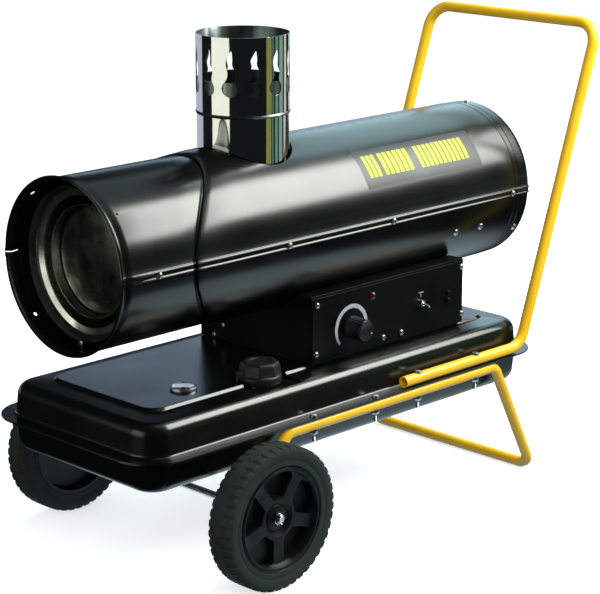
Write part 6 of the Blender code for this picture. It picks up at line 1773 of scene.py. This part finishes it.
# The first four light the heater; the others are what its mirror and enamel faces show
SOFT_BOXES = (
    SoftBox("key", (1.25, -0.894, 1.617), (1.25, -0.11, 0.58), 67.0, (1.5, 1.21), "#FAFFF7"),
    SoftBox("crest", (1.95, 0.832, 1.803), (1.95, -0.03, 0.70), 17.0, (1.30, 1.89), "#CEF7FF"),
    SoftBox("sky", (1.20, 0.30, 2.80), (1.20, 0.25, 0.0), 15.0, (3.2, 3.4), "#D8EEF0"),
    SoftBox("fill", (-1.30, -2.20, 1.50), (0.0, 0.0, 0.45), 25.0, (1.6, 1.2), "#FFFFFF"),
    SoftBox("left", (-2.05, 0.35, 0.745), (-0.1, 0.0, 0.745), 7.4, (1.7, 1.05), "#F6FFF0"),
    SoftBox("backdrop_low", (2.53, 1.47, 0.50), (0.53, -0.53, 0.50), 6.3, (2.1, 0.96), "#CDE2F0"),
    SoftBox("backdrop_high", (2.336, 1.664, 1.19), (0.336, -0.336, 1.19), 4.4, (2.65, 0.42), "#C6E2FF"),
    SoftBox("rear", (0.11, 2.40, 0.26), (0.11, 0.0, 0.26), 2.9, (2.26, 0.48), "#D5DCF5"),
    SoftBox("strip_1", (0.75, -2.22, 0.27), (-0.15, 0.0, 0.27), 0.28, (0.60, 0.52), "#FFFF93"),
    SoftBox("strip_2", (1.19, -1.99, 0.27), (-0.15, 0.0, 0.27), 0.08, (0.20, 0.52), "#B4FFCE"),
    SoftBox("strip_3", (1.58, -1.67, 0.27), (-0.15, 0.0, 0.27), 0.22, (0.40, 0.52), "#B4FFDC"),
    SoftBox("strip_4", (1.97, -1.13, 0.27), (-0.15, 0.0, 0.27), 0.40, (0.56, 0.52), "#CFFFF6"),
    SoftBox("strip_5", (2.21, -0.42, 0.27), (-0.15, 0.0, 0.27), 0.60, (0.42, 0.52), "#F4FFFF"),
)


@dataclass
class Studio:
    """A white room: floor, soft lights, and the camera at the photograph's angle."""

    camera_place: Triple = (-2.415, -2.380, 1.267)
    azimuth: float = -45.12
    elevation: float = 14.42
    roll: float = 0.09
    lens: float = 125.1
    sensor: float = 36.0
    sight: float = 30.0
    shift: Pair = (0.00335, -0.0409)
    room_soft: float = 0.60
    room_glossy: float = 0.25
    floor_half: float = 9.0
    floor_gap: float = 0.0005
    floor_drift: float = 1 / 3
    floor_lift: float = 0.62
    pool_middle: float = 0.20
    pool_half: Pair = (0.62, 0.66)
    pool_edge: Pair = (0.90, 1.20)
    pool_level: Pair = (1.2, 0.015)

    def build(self) -> None:
        """Set the camera, the room, the floor, the lights and the plain view of colours."""
        bpy.context.scene.view_settings.view_transform = "Standard"
        self.camera()
        self.room()
        self.floor()
        lamps = {box.name: box.hang() for box in SOFT_BOXES}
        lamps["fill"].visible_glossy = False

    def camera(self) -> None:
        """Place the camera by its fitted position, turn, tilt, lens and shift."""
        data = bpy.data.cameras.new("camera")
        data.lens = self.lens
        data.sensor_width = self.sensor
        data.shift_x, data.shift_y = self.shift
        data.clip_end = self.sight
        turn, tilt = math.radians(self.azimuth), math.radians(self.elevation)
        back = Vector((math.sin(turn) * math.cos(tilt), -math.cos(turn) * math.cos(tilt), math.sin(tilt)))
        aim = back.to_track_quat("Z", "Y").to_matrix().to_4x4() @ Matrix.Rotation(math.radians(self.roll), 4, "Z")
        camera = linked("camera", data)
        camera.matrix_world = Matrix.Translation(self.camera_place) @ aim
        bpy.context.scene.camera = camera

    def room(self) -> None:
        """Fill the world with soft light that is plain white to the camera and greyer in reflections."""
        world = bpy.data.worlds.new("room")
        bpy.context.scene.world = world
        world.use_nodes = True
        tree = world.node_tree
        tree.nodes.clear()
        white = add_node(tree, "ShaderNodeBackground", {"Color": (1.0, 1.0, 1.0, 1.0), "Strength": 1.0})
        soft = add_node(tree, "ShaderNodeBackground", {"Color": linear("#C9D3DC"), "Strength": self.room_soft})
        walls = add_node(tree, "ShaderNodeBackground", {"Color": linear("#46504E"), "Strength": self.room_glossy})
        glossy = add_node(tree, "ShaderNodeLightPath").outputs["Is Glossy Ray"]
        dimmed = add_node(tree, "ShaderNodeMixShader", {0: glossy, 1: soft.outputs[0], 2: walls.outputs[0]})
        shown = {0: self.background_rays(tree), 1: dimmed.outputs[0], 2: white.outputs[0]}
        mix = add_node(tree, "ShaderNodeMixShader", shown)
        add_node(tree, "ShaderNodeOutputWorld", {"Surface": mix.outputs[0]})

    def background_rays(self, tree: Tree) -> Socket:
        """Pick out the rays that show the white background.

        Args:
            tree: the node tree that asks.

        Returns:
            A socket that is 1 for the camera and for light through clear pieces, and 0 for every other ray.
        """
        path = add_node(tree, "ShaderNodeLightPath")
        rays = {0: path.outputs["Is Camera Ray"], 1: path.outputs["Is Transmission Ray"]}
        return add_node(tree, "ShaderNodeMath", rays, operation="MAXIMUM").outputs[0]

    def floor(self) -> None:
        """Lay a pale floor that keeps the shadow and is plain white elsewhere to the camera."""
        work = bmesh.new()
        low, half = CAD_BOX[0][2] - self.floor_gap, self.floor_half
        for x, y in ((-half, -half), (half, -half), (half, half), (-half, half)):
            work.verts.new((x, y, low))
        work.faces.new(work.verts)
        floor = make_object("studio_floor", work)
        paint = bpy.data.materials.new("white_floor")
        paint.use_nodes = True
        tree = paint.node_tree
        tree.nodes.clear()
        place = add_node(tree, "ShaderNodeTexCoord").outputs["Object"]
        grain = add_node(tree, "ShaderNodeTexNoise", {"Vector": place, "Scale": 1 / self.floor_drift})
        tones = {0: grain.outputs["Fac"], 6: linear("#F4F5F6"), 7: linear("#FAFAFA")}
        tone = add_node(tree, "ShaderNodeMix", tones, data_type="RGBA")
        pale = add_node(tree, "ShaderNodeBsdfDiffuse", {"Color": tone.outputs[2]})
        lift = add_node(tree, "ShaderNodeEmission", {"Color": (1.0, 1.0, 1.0, 1.0), "Strength": self.floor_lift})
        seen = add_node(tree, "ShaderNodeAddShader", {0: pale.outputs[0], 1: lift.outputs[0]})
        bounce = add_node(tree, "ShaderNodeBsdfDiffuse", {"Color": linear("#54585B")})
        sides = {0: self.background_rays(tree), 1: bounce.outputs[0], 2: seen.outputs[0]}
        blank = add_node(tree, "ShaderNodeMixShader", sides)
        # Mirrored rays meet the painted pool of light, an emission, instead of the floor's own colour
        glossy = add_node(tree, "ShaderNodeLightPath").outputs["Is Glossy Ray"]
        shown = add_node(tree, "ShaderNodeMixShader", {0: glossy, 1: blank.outputs[0], 2: self.pool(tree)})
        add_node(tree, "ShaderNodeOutputMaterial", {"Surface": shown.outputs[0]})
        floor.data.materials.append(paint)

    def pool(self, tree: Tree) -> Socket:
        """Make the floor of the reflections: a painted pool of cool light, an emission round the heater that only
        mirrored rays meet, dark beyond it.

        Args:
            tree: the floor's node tree.

        Returns:
            The shader that mirrored rays meet on the floor.
        """
        place = add_node(tree, "ShaderNodeTexCoord").outputs["Object"]
        shifted = add_node(tree, "ShaderNodeVectorMath", {0: place, 1: (-self.pool_middle, 0.0, 0.0)}, operation="ADD")
        span = (1 / self.pool_half[0], 1 / self.pool_half[1], 0.0)
        scaled = add_node(tree, "ShaderNodeVectorMath", {0: shifted.outputs[0], 1: span}, operation="MULTIPLY")
        reach = add_node(tree, "ShaderNodeVectorMath", {0: scaled.outputs[0]}, operation="LENGTH").outputs["Value"]
        ends = {"Value": reach, "From Min": self.pool_edge[0], "From Max": self.pool_edge[1],
                "To Min": self.pool_level[0], "To Max": self.pool_level[1]}
        level = add_node(tree, "ShaderNodeMapRange", ends, interpolation_type="SMOOTHSTEP").outputs[0]
        return add_node(tree, "ShaderNodeEmission", {"Color": linear("#CDE6EE"), "Strength": level}).outputs[0]


def finish_frame() -> None:
    """Give every node of the frame the finish of its slot."""
    slots = {row["node"]: row["material_slot"] for row in frame["record"]["subparts"]}
    for node, item in frame["nodes"].items():
        material = CAD_FINISHES[slots[node]].material()
        for place in range(max(len(item.material_slots), 1)):
            if item.material_slots:
                item.material_slots[place].material = material
            else:
                item.data.materials.append(material)


def main() -> None:
    """Dress the frame, build every sub-assembly in order and set the studio."""
    logging.basicConfig(level=logging.INFO, format="%(name)s: %(message)s")
    finish_frame()
    parts: list[SubAssembly] = [
        FuelTank("fuel tank"), Trolley("trolley"), Wheel("near_wheel"), Wheel("far_wheel", side=1), AirTube("air tube"),
        HeatExchanger("heat exchanger"), Flue("flue"), BurnerTrain("burner train"), ControlBox("control box"),
    ]
    for part in parts:
        part.build()
        part.report()
    Studio().build()


if __name__ == "__main__":
    main()
